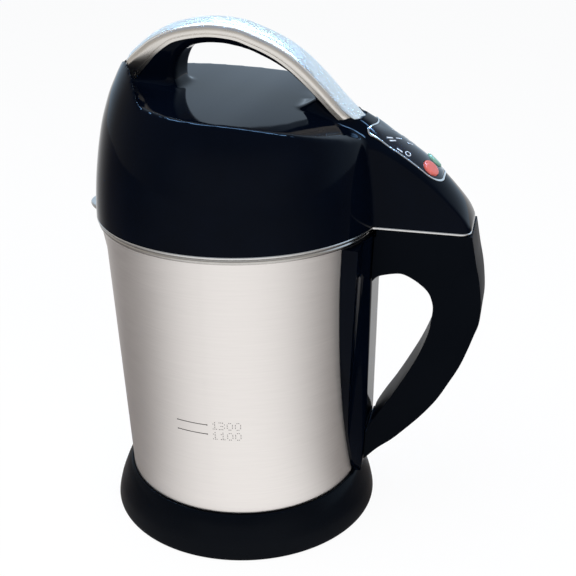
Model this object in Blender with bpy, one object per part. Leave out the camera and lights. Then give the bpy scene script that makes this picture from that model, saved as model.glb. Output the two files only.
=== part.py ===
"""Soy milk maker: a stainless mug on a heated base, with a lift-off motor head.

Metres, +Z up. The handle points to +X, the spout to -X, and the front is -Y.
The origin is on the floor, under the middle of the machine.
"""

import math

import bmesh
import bpy
from mathutils import Matrix, Vector

MM = 0.001

# Fits and facets
fit_gap = 0.3 * MM
cut_overrun = 6 * MM
weld_overlap = 1 * MM
round_steps = 36
mug_steps = 56
small_steps = 12
button_steps = 16
corner_steps = 4

# Mug
trim_plane_height = 200 * MM
mug_rim_step = 3.9 * MM
mug_foot_step = 11.2 * MM
mug_wall = 1 * MM
mug_skirt_drop = 1.6 * MM
mug_floor_rise = 1.4 * MM
mug_floor_round = 4 * MM
bead_proud = 3 * MM
bead_height = 3.2 * MM
spout_reach = 98 * MM
spout_half_angle = math.radians(17.5)
spout_height = 58 * MM
spout_fade_power = 0.8

# Base
base_radius = 86.6 * MM
base_height = 27.4 * MM
base_wall_foot = 5.6 * MM
base_wall_top = 10.6 * MM
base_shelf_width = 8 * MM
base_shelf_thickness = 1.8 * MM
plate_edge_step = 9.9 * MM
plate_bottom_height = 2.2 * MM
plate_thickness = 2.4 * MM
foot_circle_step = 18.7 * MM
foot_radius = 8 * MM
foot_edge = 0.6 * MM
foot_stem_radius = 2.5 * MM
foot_bulb_radius = 3.4 * MM
foot_bulb_height = 2.1 * MM
base_screw_step = 5.5 * MM
base_boss_radius = 4.5 * MM
base_screw_length = 12 * MM
screw_radius = 1.5 * MM
screw_head_radius = 2.9 * MM
screw_head_height = 1.2 * MM
foot_angles = [math.radians(45 + 90 * turn) for turn in range(4)]
base_screw_angles = [math.radians(30 + 120 * turn) for turn in range(3)]

# Heater and thermostat
heater_plate_step = 17.4 * MM
heater_plate_thickness = 2.4 * MM
heater_tube_radius = 3 * MM
heater_circle_step = 14 * MM
heater_open_angle = math.radians(36)
heater_terminal_length = 8 * MM
thermostat_radius = 9 * MM
thermostat_body_radius = 7 * MM
thermostat_flange = 2 * MM
thermostat_height = 11 * MM

# Mains inlet
inlet_width = 28 * MM
inlet_face_step = 3.4 * MM
inlet_depth = 24 * MM
inlet_socket_width = 24 * MM
inlet_socket_wall = 1.25 * MM
inlet_socket_depth = 17 * MM
inlet_pin_pitch = 7 * MM
inlet_pin_width = 2 * MM
inlet_pin_height = 4 * MM
inlet_pin_length = 14 * MM
inlet_pin_seat = 3 * MM
inlet_earth_rise = 2.5 * MM

# Handle
handle_depth = 62.8 * MM
handle_side_step = 0.5 * MM
handle_taper = 3.7 * MM
handle_edge_round = 4 * MM
strap_thickness = 2.2 * MM
strap_rise_top = 1.5 * MM
strap_rise_foot = 5.2 * MM
strap_rib_half_width = 14 * MM
strap_slope_half_width = 28 * MM
strap_columns = 16
strap_rim_clearance = 1.2 * MM
pocket_near_wall = 7.2 * MM
pocket_far_wall = 9 * MM
pocket_side_wall = 5.2 * MM
pocket_depth = 19 * MM
pocket_wall = 4 * MM
handle_screw_low_drop = 8 * MM
handle_screw_high_drop = 14.8 * MM
stud_radius = 3 * MM
ribbon_width = 7 * MM
ribbon_thickness = 1.2 * MM
ribbon_offset = 8.4 * MM
ribbon_foot_height = 12 * MM
ribbon_turn_drop = 12.8 * MM

# Head
head_radius = 87.2 * MM
head_height = 113.4 * MM
head_wall = 2.5 * MM
tail_step = 7 * MM
tail_end_step = 2.2 * MM
tail_half_width = 19.7 * MM
tail_corner_radius = 6 * MM
tail_root_step = 10.8 * MM
tail_hollow_step = 12.5 * MM
arch_end_step = 3.2 * MM
tail_roof = 7 * MM
arch_half_width = 14 * MM
recess_corner_reach = 37 * MM
recess_corner_step = 21.2 * MM
recess_foot_reach = 56 * MM
trim_height = 1.8 * MM
trim_width = 3.6 * MM
strip_thickness = 1.2 * MM
strip_gap = 0.5 * MM
strip_leg = 6 * MM
strip_corner = 3 * MM
strip_crown = 1.5 * MM
strip_left_reach = 70 * MM
strip_right_step = 12 * MM
strip_tongue = 14 * MM
strip_slope_step = 4 * MM
strip_rows = 16
head_boss_radius = 4.5 * MM
head_screw_step = 18.2 * MM
head_screw_length = 12 * MM
head_screw_angles = [math.radians(120 * turn) for turn in range(3)]

# Control panel and buttons
panel_length = 45 * MM
panel_end_step = 18 * MM
panel_side_step = 5.2 * MM
panel_corner_radius = 5 * MM
panel_thickness = 1.5 * MM
panel_frame_width = 0.9 * MM
panel_frame_proud = 0.3 * MM
button_edge_margin = 1 * MM
button_middle_gap = 5.8 * MM
button_flange_width = 0.7 * MM
button_flange_height = 1.2 * MM
button_proud = 1.4 * MM
button_travel = 0.8 * MM
button_stem_radius = 2 * MM
button_stem_length = 2 * MM
button_end_step = 10 * MM
button_round = 0.8 * MM
switch_width = 6 * MM
switch_height = 2 * MM
button_tilt_room = 2.6 * MM
panel_curve_room = 0.9 * MM
board_thickness = 1.6 * MM
board_length = 34 * MM
board_width = 21 * MM
board_boss_back = 16 * MM
board_boss_radius = 2.2 * MM

# Coupler between the tail and the handle
coupler_length = 24 * MM
coupler_width = 13 * MM
coupler_drop = 5 * MM
coupler_rise = 4 * MM
coupler_pin_radius = 1.3 * MM
coupler_pin_pitch = 7.5 * MM
coupler_pin_drop = 7 * MM
socket_flange = 2 * MM
socket_depth = 15 * MM
tail_cover_rise = 1.6 * MM

# Lower housing, seal and probes
housing_clearance = 1 * MM
housing_flange_gap = 0.5 * MM
housing_flange = 2 * MM
housing_wall = 2 * MM
housing_depth = 28 * MM
housing_slope = 5 * MM
housing_slope_width = 12 * MM
seal_height = 3 * MM
seal_depth = 9 * MM
seal_groove = 1 * MM
seal_squeeze_gap = 0.4 * MM
probe_radius = 2.2 * MM
probe_flange_radius = 5 * MM
probe_flange = 2 * MM
overflow_probe_step = 21 * MM
overflow_probe_length = 34 * MM
overflow_probe_angle = math.radians(188)
temperature_probe_step = 17 * MM
temperature_probe_clearance = 38.3 * MM
temperature_probe_angle = math.radians(-62)

# Motor, blade and fan
can_radius = 34 * MM
can_height = 46 * MM
can_wall = 1.6 * MM
stator_inner_radius = 17.6 * MM
stator_height = 26 * MM
stator_rise = 9 * MM
rotor_gap = 0.6 * MM
shaft_radius = 3 * MM
shaft_top_length = 22 * MM
shaft_tip_length = 6 * MM
bearing_radius = 8 * MM
bearing_height = 6 * MM
bearing_cup_wall = 1.6 * MM
bracket_thickness = 2.2 * MM
sleeve_radius = 21 * MM
sleeve_wall = 1.2 * MM
sleeve_flange_width = 10 * MM
sleeve_flange = 1.5 * MM
guard_floor_clearance = 10 * MM
sleeve_floor = 2 * MM
shaft_seal_radius = 6 * MM
guard_wall = 1 * MM
guard_overlap = 12 * MM
guard_drop = 26 * MM
guard_flare = 3 * MM
guard_window_width = 9 * MM
guard_window_height = 16 * MM
guard_window_rise = 4 * MM
guard_windows = 8
blade_reach = 17 * MM
blade_root_half_width = 3.4 * MM
blade_tip_half_width = 2.3 * MM
blade_thickness = 1.4 * MM
blade_bend = 5 * MM
blade_drop = 11 * MM
blade_wings = 4
blade_bend_start_share = 0.35
blade_bend_power = 1.3
nut_radius = 4.6 * MM
nut_height = 4 * MM
nut_sides = 6
fan_radius = 27 * MM
fan_hub_radius = 6 * MM
fan_disc = 1.5 * MM
fan_height = 9 * MM
fan_vanes = 8
fan_vane_thickness = 1.5 * MM

# Power board
power_board_can_gap = 4 * MM
power_board_edge_step = 11.2 * MM
power_board_half_width = 33 * MM
transformer_length = 28 * MM
transformer_width = 34 * MM
transformer_height = 24 * MM

# Widths and reaches that follow from the sizes above, from the mug's axis outwards
mug_rim_radius = head_radius - mug_rim_step
mug_foot_radius = base_radius - mug_foot_step
base_cavity_radius = base_radius - base_wall_foot
base_cavity_top_radius = base_radius - base_wall_top
base_shelf_radius = base_cavity_top_radius - base_shelf_width
base_screw_circle_radius = base_cavity_top_radius - base_screw_step
plate_radius = base_radius - plate_edge_step
foot_circle_radius = plate_radius - foot_circle_step
heater_plate_radius = mug_foot_radius - heater_plate_step
heater_circle_radius = heater_plate_radius - heater_circle_step
inlet_face = base_radius - inlet_face_step
housing_flange_radius = head_radius - head_wall - housing_flange_gap
recess_corner_depth = head_radius - recess_corner_step
sleeve_flange_radius = sleeve_radius + sleeve_flange_width
overflow_probe_reach = sleeve_flange_radius + overflow_probe_step
temperature_probe_reach = sleeve_flange_radius + temperature_probe_step
power_board_near = can_radius + power_board_can_gap
power_board_far = housing_flange_radius - power_board_edge_step
guard_radius = sleeve_radius + fit_gap
handle_reach = head_radius + handle_depth
tail_reach = handle_reach - tail_step
tail_end_reach = tail_reach - tail_end_step
panel_far_reach = tail_reach - panel_end_step
panel_near_reach = panel_far_reach - panel_length
button_reach = panel_far_reach - button_end_step
tail_hollow_reach = panel_near_reach - tail_hollow_step
strip_right_reach = panel_near_reach - strip_right_step
arch_end_reach = strip_right_reach - arch_end_step
tail_root_reach = arch_end_reach - tail_root_step
panel_half_width = tail_half_width - panel_side_step
button_radius = (panel_half_width - button_edge_margin - button_middle_gap / 2) / 2
button_offset = button_middle_gap / 2 + button_radius
button_flange_radius = button_radius + button_flange_width
handle_half_width = tail_half_width - handle_side_step
handle_foot_half_width = handle_half_width - handle_taper
strap_face_top = mug_rim_radius + strap_rise_top
strap_face_foot = mug_foot_radius + strap_rise_foot
pocket_half_width = handle_half_width - pocket_side_wall
pocket_near = strap_face_top + pocket_near_wall
pocket_length = tail_reach - pocket_far_wall - pocket_near
coupler_reach = pocket_near + pocket_length / 2
socket_half_length = coupler_length / 2 + 2 * fit_gap
socket_half_width = coupler_width / 2 + 2 * fit_gap
socket_half_wall = (pocket_half_width - fit_gap - socket_half_width) / 2
socket_near = coupler_reach - socket_half_length - socket_half_wall
screw_hole_radius = screw_radius + fit_gap
mug_axis_x = (spout_reach - handle_reach) / 2

# Heights that follow from the sizes above
trim_bottom = trim_plane_height - trim_height / 2
trim_top = trim_plane_height + trim_height / 2
bead_top = trim_bottom - fit_gap
bead_bottom = bead_top - bead_height
head_bottom = trim_top + fit_gap
handle_top = trim_bottom - fit_gap
grip_hole_foot_share = 0.312
handle_screw_low_height = handle_top * grip_hole_foot_share - handle_screw_low_drop
handle_screw_high_height = handle_top - handle_screw_high_drop
ribbon_turn_height = handle_top - ribbon_turn_drop
mug_skirt_height = base_height - mug_skirt_drop
mug_floor_height = base_height + mug_floor_rise
shelf_top = mug_skirt_height - fit_gap
shelf_bottom = shelf_top - base_shelf_thickness
plate_top = plate_bottom_height + plate_thickness
boss_bottom = plate_top + fit_gap
inlet_bottom = plate_top + fit_gap
inlet_top = shelf_bottom - fit_gap
inlet_centre_height = (inlet_bottom + inlet_top) / 2
inlet_socket_height = inlet_top - inlet_bottom - 2 * inlet_socket_wall
housing_floor_bottom = trim_bottom - housing_depth
housing_floor_top = housing_floor_bottom + housing_wall
can_bottom = housing_floor_top + fit_gap
can_top = can_bottom + can_height
sleeve_top = housing_floor_bottom - fit_gap
guard_bottom = mug_floor_height + guard_floor_clearance
sleeve_bottom = guard_bottom + guard_drop
blade_height = sleeve_bottom - blade_drop
temperature_probe_tip = mug_floor_height + temperature_probe_clearance
temperature_probe_length = housing_floor_bottom - temperature_probe_tip
housing_foot_height = housing_floor_bottom + housing_slope
housing_foot_share = (trim_plane_height - housing_foot_height) / (trim_plane_height - base_height)
housing_mug_radius = mug_rim_radius - (mug_rim_radius - mug_foot_radius) * housing_foot_share
housing_radius = housing_mug_radius - mug_wall - housing_clearance
head_screw_circle_radius = housing_radius - head_screw_step

# Outlines as shares of the head's height above the trim plane and of its radius or reach
dome_shares = (
    (1.0, 0.0), (0.997, 0.08), (0.985, 0.19), (0.967, 0.296), (0.944, 0.40), (0.914, 0.504),
    (0.872, 0.605), (0.847, 0.655), (0.816, 0.705), (0.783, 0.755), (0.738, 0.809), (0.655, 0.864),
    (0.558, 0.916), (0.393, 0.970), (0.18, 0.996), (0.0, 1.0),
)
arch_top_shares = (
    (-0.70, 0.55), (-0.487, 0.755), (-0.450, 0.809), (-0.399, 0.864), (-0.340, 0.916),
    (-0.240, 0.970), (-0.099, 0.999), (0.033, 0.988), (0.110, 0.951), (0.224, 0.889),
    (0.294, 0.799), (0.368, 0.704), (0.438, 0.617), (0.490, 0.568),
)
tail_top_shares = (
    (0.378, 0.690), (0.438, 0.617), (0.490, 0.568), (0.530, 0.540), (0.587, 0.497), (0.657, 0.448),
    (0.713, 0.403), (0.769, 0.354), (0.811, 0.308), (0.853, 0.258), (0.888, 0.211), (0.920, 0.163),
    (0.948, 0.115), (0.972, 0.062), (0.990, 0.012), (1.0, -0.015),
)
tail_edge_shares = (
    (0.378, 0.534), (0.438, 0.512), (0.490, 0.470), (0.523, 0.438), (0.593, 0.414), (0.665, 0.373),
    (0.755, 0.299), (0.838, 0.220), (0.919, 0.122), (0.957, 0.066), (0.985, 0.005), (1.0, -0.02),
)
floor_shares = (
    (-0.70, 0.72), (-0.42, 0.687), (-0.28, 0.655), (-0.14, 0.629), (0.0, 0.614), (0.14, 0.599),
    (0.28, 0.567), (0.385, 0.531), (0.462, 0.500), (0.531, 0.468), (0.70, 0.39),
)
hole_shares = (
    (-0.238, 0.62), (-0.240, 0.73), (-0.230, 0.785), (-0.213, 0.824), (-0.179, 0.859),
    (-0.115, 0.878), (-0.020, 0.877), (0.088, 0.845), (0.219, 0.764), (0.300, 0.680),
    (0.370, 0.590), (0.410, 0.520), (0.410, 0.45),
)

# Outlines of the handle as shares of its reach and of the height of its top
grip_outer_shares = (
    (0.943, 1.0), (0.964, 0.924), (0.980, 0.873), (0.991, 0.821), (0.9965, 0.770), (0.992, 0.728),
    (0.978, 0.692), (0.956, 0.637), (0.929, 0.579), (0.890, 0.518), (0.847, 0.456), (0.786, 0.391),
    (0.711, 0.325), (0.666, 0.289), (0.612, 0.253), (0.575, 0.222), (0.557, 0.206),
)
grip_hole_shares = (
    (0.5695, 0.838), (0.587, 0.852), (0.613, 0.860), (0.661, 0.868), (0.692, 0.867), (0.732, 0.853),
    (0.769, 0.833), (0.791, 0.815), (0.804, 0.793), (0.811, 0.767), (0.808, 0.734), (0.799, 0.684),
    (0.768, 0.613), (0.724, 0.540), (0.660, 0.448), (0.610, 0.385), (0.575, 0.335),
    (0.5655, grip_hole_foot_share),
)
tongue_shares = ((0.0, 0.45), (0.08, 0.67), (0.2, 0.81), (0.4, 0.92), (0.7, 0.985), (1.0, 1.0))
strip_corner_shares = ((0.0, 1.0), (0.35, 0.40), (1.0, 0.0))
bead_shares = ((0.75, 0.08), (1.0, 0.35), (1.0, 0.65), (0.75, 0.92), (0.2, 1.0))
strap_angle_shares = (
    (0.0, 0.26), (0.09, 0.45), (0.21, 0.62), (0.34, 0.76), (0.52, 0.885), (0.67, 0.95),
    (0.80, 0.985), (0.90, 1.0), (1.0, 1.0),
)
strap_half_angle = math.radians(32.2)
strap_face_shares = ((0.0, 0.0), (0.07, 0.45), (0.19, 0.72), (0.5, 0.85), (1.0, 1.0))
base_outer_shares = (
    (0.985, 0.01), (1.0, 0.04), (1.0, 0.10), (0.992, 0.22), (0.977, 0.40), (0.954, 0.60),
    (0.928, 0.80), (0.906, 0.93), (0.890, 0.99), (0.882, 1.0),
)


def remove_old_objects():
    for old in list(bpy.data.objects):
        bpy.data.objects.remove(old, do_unlink=True)


def make_material(name, colour, roughness, metallic):
    material = bpy.data.materials.new(name)
    material.use_nodes = True
    shader = material.node_tree.nodes["Principled BSDF"]
    shader.inputs["Base Color"].default_value = (*colour, 1)
    shader.inputs["Roughness"].default_value = roughness
    shader.inputs["Metallic"].default_value = metallic
    material.diffuse_color = (*colour, 1)
    return material


def make_empty(name, place, parent=None):
    empty = bpy.data.objects.new(name, None)
    bpy.context.scene.collection.objects.link(empty)
    empty.location = place
    empty.parent = parent
    return empty


def make_object(name, mesh_data, material, parent, smooth=False):
    bmesh.ops.recalc_face_normals(mesh_data, faces=mesh_data.faces)
    if smooth:
        for face in mesh_data.faces:
            face.smooth = True
    mesh = bpy.data.meshes.new(name)
    mesh_data.to_mesh(mesh)
    mesh_data.free()
    piece = bpy.data.objects.new(name, mesh)
    bpy.context.scene.collection.objects.link(piece)
    if material is not None:
        mesh.materials.append(material)
    piece.parent = parent
    return piece


def as_cutter(piece):
    piece.hide_render = True
    piece.display_type = "WIRE"
    return piece


def combine(piece, other, operation):
    as_cutter(other)
    boolean = piece.modifiers.new(f"{operation.lower()} {other.name}", "BOOLEAN")
    boolean.operation = operation
    boolean.object = other
    boolean.solver = "EXACT"
    return piece


# Outline tools

def scaled(shares, across, up, floor_level=0.0):
    return [(a * across, floor_level + b * up) for a, b in shares]


def height_at(points, x):
    if x <= points[0][0]:
        return points[0][1]
    for (x0, z0), (x1, z1) in zip(points, points[1:]):
        if x <= x1:
            return z0 + (z1 - z0) * (x - x0) / (x1 - x0)
    return points[-1][1]


def smooth_curve(points, steps=2):
    """Catmull-Rom curve through the points of an open outline."""
    first, last = Vector(points[0]), Vector(points[-1])
    known = [first] + [Vector(p) for p in points] + [last]
    curve = []
    for a, b, c, d in zip(known, known[1:], known[2:], known[3:]):
        for step in range(steps):
            t = step / steps
            bend = (a * -1 + b * 3 - c * 3 + d) * t ** 3 + (a * 2 - b * 5 + c * 4 - d) * t ** 2
            curve.append(tuple(b + (bend + (c - a) * t) / 2))
    curve.append(tuple(last))
    return curve


def arc(centre, radius, start, end, steps):
    turns = [start + (end - start) * step / steps for step in range(steps + 1)]
    return [(centre[0] + radius * math.cos(t), centre[1] + radius * math.sin(t)) for t in turns]


def rounded_rectangle(low, high, radius):
    (x0, y0), (x1, y1) = low, high
    quarter = math.pi / 2
    corners = (
        ((x1 - radius, y1 - radius), 0), ((x0 + radius, y1 - radius), 1),
        ((x0 + radius, y0 + radius), 2), ((x1 - radius, y0 + radius), 3),
    )
    outline = []
    for centre, turn in corners:
        outline += arc(centre, radius, turn * quarter, (turn + 1) * quarter, corner_steps)
    return outline


# Solid tools

def turned(name, profile, material, parent, steps=round_steps, swell=None, place=(0, 0, 0)):
    """Solid of revolution about Z: a profile of (radius, height), closed or from axis to axis."""
    shape = bmesh.new()
    from_axis = profile[0][0] == 0 and profile[-1][0] == 0
    rings = []
    for radius, height in profile:
        if radius == 0:
            rings.append([shape.verts.new((0, 0, height))])
            continue
        ring = []
        for step in range(steps):
            angle = 2 * math.pi * step / steps
            reach = radius + (swell(angle, height) if swell else 0)
            ring.append(shape.verts.new((reach * math.cos(angle), reach * math.sin(angle), height)))
        rings.append(ring)
    pairs = list(zip(rings, rings[1:]))
    if not from_axis:
        pairs.append((rings[-1], rings[0]))
    for lower, upper in pairs:
        for step in range(steps):
            after = (step + 1) % steps
            corners = [lower[step % len(lower)], lower[after % len(lower)]]
            corners += [upper[after % len(upper)], upper[step % len(upper)]]
            shape.faces.new(list(dict.fromkeys(corners)))
    piece = make_object(name, shape, material, parent, smooth=True)
    piece.location = place
    return piece


def disc(name, radius, bottom, top, material, parent, place=(0, 0), steps=small_steps):
    shape = bmesh.new()
    bmesh.ops.create_cone(shape, cap_ends=True, segments=steps, radius1=radius, radius2=radius,
                          depth=top - bottom)
    bmesh.ops.translate(shape, vec=(0, 0, (bottom + top) / 2), verts=shape.verts)
    piece = make_object(name, shape, material, parent, smooth=True)
    piece.location = (place[0], place[1], 0)
    return piece


def ring(name, inner, outer, bottom, top, material, parent, steps=round_steps):
    profile = [(inner, bottom), (outer, bottom), (outer, top), (inner, top)]
    return turned(name, profile, material, parent, steps)


def extruded(name, outline, low, high, material, parent, along="Z"):
    """Prism of a closed outline: (x, y) along Z, (x, z) along Y or (y, z) along X."""
    place = {
        "Z": lambda a, b, c: (a, b, c),
        "Y": lambda a, b, c: (a, c, b),
        "X": lambda a, b, c: (c, a, b),
    }[along]
    shape = bmesh.new()
    ends = [[shape.verts.new(place(a, b, level)) for a, b in outline] for level in (low, high)]
    shape.faces.new(ends[0])
    shape.faces.new(ends[1])
    count = len(outline)
    for step in range(count):
        after = (step + 1) % count
        shape.faces.new([ends[0][step], ends[0][after], ends[1][after], ends[1][step]])
    return make_object(name, shape, material, parent)


def block(name, low, high, material, parent):
    shape = bmesh.new()
    bmesh.ops.create_cube(shape, size=1)
    size = [b - a for a, b in zip(low, high)]
    middle = [(a + b) / 2 for a, b in zip(low, high)]
    bmesh.ops.scale(shape, vec=size, verts=shape.verts)
    bmesh.ops.translate(shape, vec=middle, verts=shape.verts)
    return make_object(name, shape, material, parent)


def lofted(name, sections, material, parent, smooth=False):
    """Skin over closed sections with equal numbers of points, capped at both ends."""
    shape = bmesh.new()
    loops = [[shape.verts.new(point) for point in section] for section in sections]
    count = len(loops[0])
    for near, far in zip(loops, loops[1:]):
        for step in range(count):
            after = (step + 1) % count
            shape.faces.new([near[step], near[after], far[after], far[step]])
    shape.faces.new(loops[0])
    shape.faces.new(loops[-1])
    return make_object(name, shape, material, parent, smooth)


def screw(name, place, length, material, parent, direction=Vector((0, 0, 1))):
    """Pan-head screw: the origin is under its head, and the shank runs along the direction."""
    head_round = screw_head_height / 3
    profile = [
        (0, -screw_head_height), (screw_head_radius - head_round, -screw_head_height),
        (screw_head_radius, -screw_head_height + head_round), (screw_head_radius, 0),
        (screw_radius, 0), (screw_radius, length - screw_radius), (0, length),
    ]
    piece = turned(name, profile, material, parent, small_steps)
    piece.rotation_euler = Vector((0, 0, 1)).rotation_difference(direction).to_euler()
    piece.location = place
    return piece


def around(angle, radius):
    return radius * math.cos(angle), radius * math.sin(angle)


# Curves that several pieces share

def mug_radius_at(height):
    share = (trim_plane_height - height) / (trim_plane_height - base_height)
    return mug_rim_radius + (mug_foot_radius - mug_rim_radius) * share


def spout_swell(angle, height):
    off_axis = abs(angle - math.pi) / spout_half_angle
    rise = (height - (bead_bottom - spout_height)) / spout_height
    if off_axis >= 1 or rise <= 0:
        return 0
    depth = spout_reach - mug_radius_at(bead_top) - bead_proud
    return depth * math.cos(off_axis * math.pi / 2) ** 2 * min(rise, 1) ** spout_fade_power


def dome_profile(inset=0.0):
    points = smooth_curve(scaled(dome_shares, head_radius, head_height, trim_plane_height), 1)
    return [(max(radius - inset, 0), height) for radius, height in points]


def arch_top_curve():
    return smooth_curve(scaled(arch_top_shares, tail_reach, head_height, trim_plane_height))


def tail_top_curve():
    return scaled(tail_top_shares, tail_reach, head_height, trim_plane_height)


def tail_edge_curve():
    return scaled(tail_edge_shares, tail_reach, head_height, trim_plane_height)


def floor_curve():
    return scaled(floor_shares, tail_reach, head_height, trim_plane_height)


def tail_height(x, y):
    """Height of the crowned top of the tail."""
    top = height_at(tail_top_curve(), x)
    edge = height_at(tail_edge_curve(), x)
    return edge + (top - edge) * (1 - (y / tail_half_width) ** 2)


def tail_normal(x, y):
    step = fit_gap
    slope_x = (tail_height(x + step, y) - tail_height(x - step, y)) / (2 * step)
    slope_y = (tail_height(x, y + step) - tail_height(x, y - step)) / (2 * step)
    return Vector((-slope_x, -slope_y, 1)).normalized()


def plan_outline(offset=0.0):
    """Plan of the head at the trim: a circle with the tail on its handle side."""
    radius = head_radius - offset
    half_width = tail_half_width - offset
    corner = tail_corner_radius - offset / 2
    reach = tail_end_reach - offset
    root = math.asin(half_width / radius)
    outline = arc((0, 0), radius, root, 2 * math.pi - root, round_steps)
    outline += arc((reach - corner, -half_width + corner), corner, -math.pi / 2, 0, corner_steps)
    outline += arc((reach - corner, half_width - corner), corner, 0, math.pi / 2, corner_steps)
    return outline


# Mug and base

def make_mug(material, parent):
    fade_rows = 5
    heights = [mug_skirt_height, base_height]
    spout_bottom = bead_bottom - spout_height
    heights += [base_height + (spout_bottom - base_height) * row / 2 for row in (1, 2)]
    heights += [spout_bottom + spout_height * row / fade_rows for row in range(1, fade_rows + 1)]
    outer = [(mug_radius_at(height), height) for height in heights]
    rim = mug_radius_at(bead_top)
    bead = [
        (rim + bead_proud * share, bead_bottom + bead_height * rise)
        for share, rise in bead_shares
    ]
    floor_top = mug_floor_height + mug_wall
    inside = [(radius - mug_wall, height) for radius, height in reversed(outer) if height > floor_top]
    corner = mug_radius_at(floor_top) - mug_wall
    inside += [(corner, floor_top + mug_floor_round), (corner - mug_floor_round, floor_top)]
    underside = [(corner, mug_floor_height), (outer[0][0] - mug_wall, mug_skirt_height)]
    profile = [(0, floor_top)] + inside[::-1] + [(rim - mug_wall, bead_top - mug_wall)]
    profile += bead[::-1] + outer[::-1] + underside[::-1] + [(0, mug_floor_height)]
    mug = turned("mug_shell", profile, material, parent, mug_steps, spout_swell)
    for name, height in (("low", handle_screw_low_height), ("high", handle_screw_high_height)):
        wall = mug_radius_at(height)
        start = wall - mug_wall / 2
        length = strap_face_at(height) - fit_gap - start
        stud = along_handle(f"{name} welded stud", stud_radius, length, (start, 0, height), parent)
        combine(mug, stud, "UNION")
        thread = along_handle(f"{name} stud thread", screw_hole_radius, length, (wall, 0, height), parent)
        combine(mug, thread, "DIFFERENCE")
    return mug


def along_handle(name, radius, length, place, parent):
    """Cylinder that runs from its place towards the handle."""
    stud = disc(name, radius, 0, length, None, parent)
    stud.rotation_euler = (0, math.pi / 2, 0)
    stud.location = place
    return stud


def make_base_ring(material, parent):
    outer = scaled(base_outer_shares, base_radius, base_height)
    profile = outer + [
        (mug_radius_at(base_height) + fit_gap, base_height),
        (mug_radius_at(shelf_top) + fit_gap, shelf_top), (base_shelf_radius, shelf_top),
        (base_shelf_radius, shelf_bottom), (base_cavity_top_radius, shelf_bottom),
        (base_cavity_radius, boss_bottom), (plate_radius + fit_gap, boss_bottom),
        (plate_radius + fit_gap, outer[0][1]),
    ]
    base = turned("base_ring", profile, material, parent, mug_steps)
    for number, angle in enumerate(base_screw_angles, 1):
        place = around(angle, base_screw_circle_radius)
        boss = disc(f"base boss {number}", base_boss_radius, boss_bottom,
                    shelf_bottom + weld_overlap, None, parent, place)
        combine(base, boss, "UNION")
        hole = disc(f"base boss hole {number}", screw_hole_radius, boss_bottom - cut_overrun,
                    plate_bottom_height + base_screw_length + fit_gap, None, parent, place)
        combine(base, hole, "DIFFERENCE")
    half_width = inlet_width / 2 + fit_gap
    window = block("inlet window", (-half_width, base_shelf_radius, inlet_bottom - fit_gap),
                   (half_width, base_radius + cut_overrun, inlet_top + fit_gap), None, parent)
    combine(base, window, "DIFFERENCE")
    notch_half = ribbon_width / 2 + fit_gap
    notch_x = mug_radius_at(shelf_bottom)
    notch_low = (notch_x - cut_overrun, ribbon_offset - notch_half, ribbon_foot_height - fit_gap)
    notch_high = (notch_x + ribbon_thickness + 3 * fit_gap, ribbon_offset + notch_half,
                  base_height + cut_overrun)
    notch = block("ribbon notch", notch_low, notch_high, None, parent)
    combine(base, notch, "DIFFERENCE")
    return base


def make_base_plate(material, parent):
    plate = disc("base_plate", plate_radius, plate_bottom_height, plate_top, material, parent,
                 steps=mug_steps)
    for number, angle in enumerate(base_screw_angles, 1):
        place = around(angle, base_screw_circle_radius)
        hole = disc(f"plate hole {number}", screw_hole_radius, plate_bottom_height - cut_overrun,
                    plate_top + cut_overrun, None, parent, place)
        sink = disc(f"plate sink {number}", screw_head_radius + fit_gap,
                    plate_bottom_height - cut_overrun, plate_bottom_height + screw_head_height,
                    None, parent, place)
        combine(plate, hole, "DIFFERENCE")
        combine(plate, sink, "DIFFERENCE")
    for number, angle in enumerate(foot_angles, 1):
        hole = disc(f"plate foot hole {number}", foot_stem_radius + fit_gap,
                    plate_bottom_height - cut_overrun, plate_top + cut_overrun, None, parent,
                    around(angle, foot_circle_radius))
        combine(plate, hole, "DIFFERENCE")
    return plate


def make_feet(material, parent):
    pad_top = plate_bottom_height - fit_gap
    bulb_bottom = plate_top + fit_gap
    profile = [
        (0, 0), (foot_radius - foot_edge, 0), (foot_radius, foot_edge), (foot_radius, pad_top),
        (foot_stem_radius, pad_top), (foot_stem_radius, bulb_bottom),
        (foot_bulb_radius, bulb_bottom), (foot_stem_radius, bulb_bottom + foot_bulb_height),
        (0, bulb_bottom + foot_bulb_height),
    ]
    for number, angle in enumerate(foot_angles, 1):
        x, y = around(angle, foot_circle_radius)
        turned(f"foot_{number}", profile, material, parent, small_steps, place=(x, y, 0))


def make_base_screws(material, parent):
    for number, angle in enumerate(base_screw_angles, 1):
        x, y = around(angle, base_screw_circle_radius)
        seat = plate_bottom_height + screw_head_height - fit_gap
        length = base_screw_length - screw_head_height
        screw(f"base_screw_{number}", (x, y, seat), length, material, parent)


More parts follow.
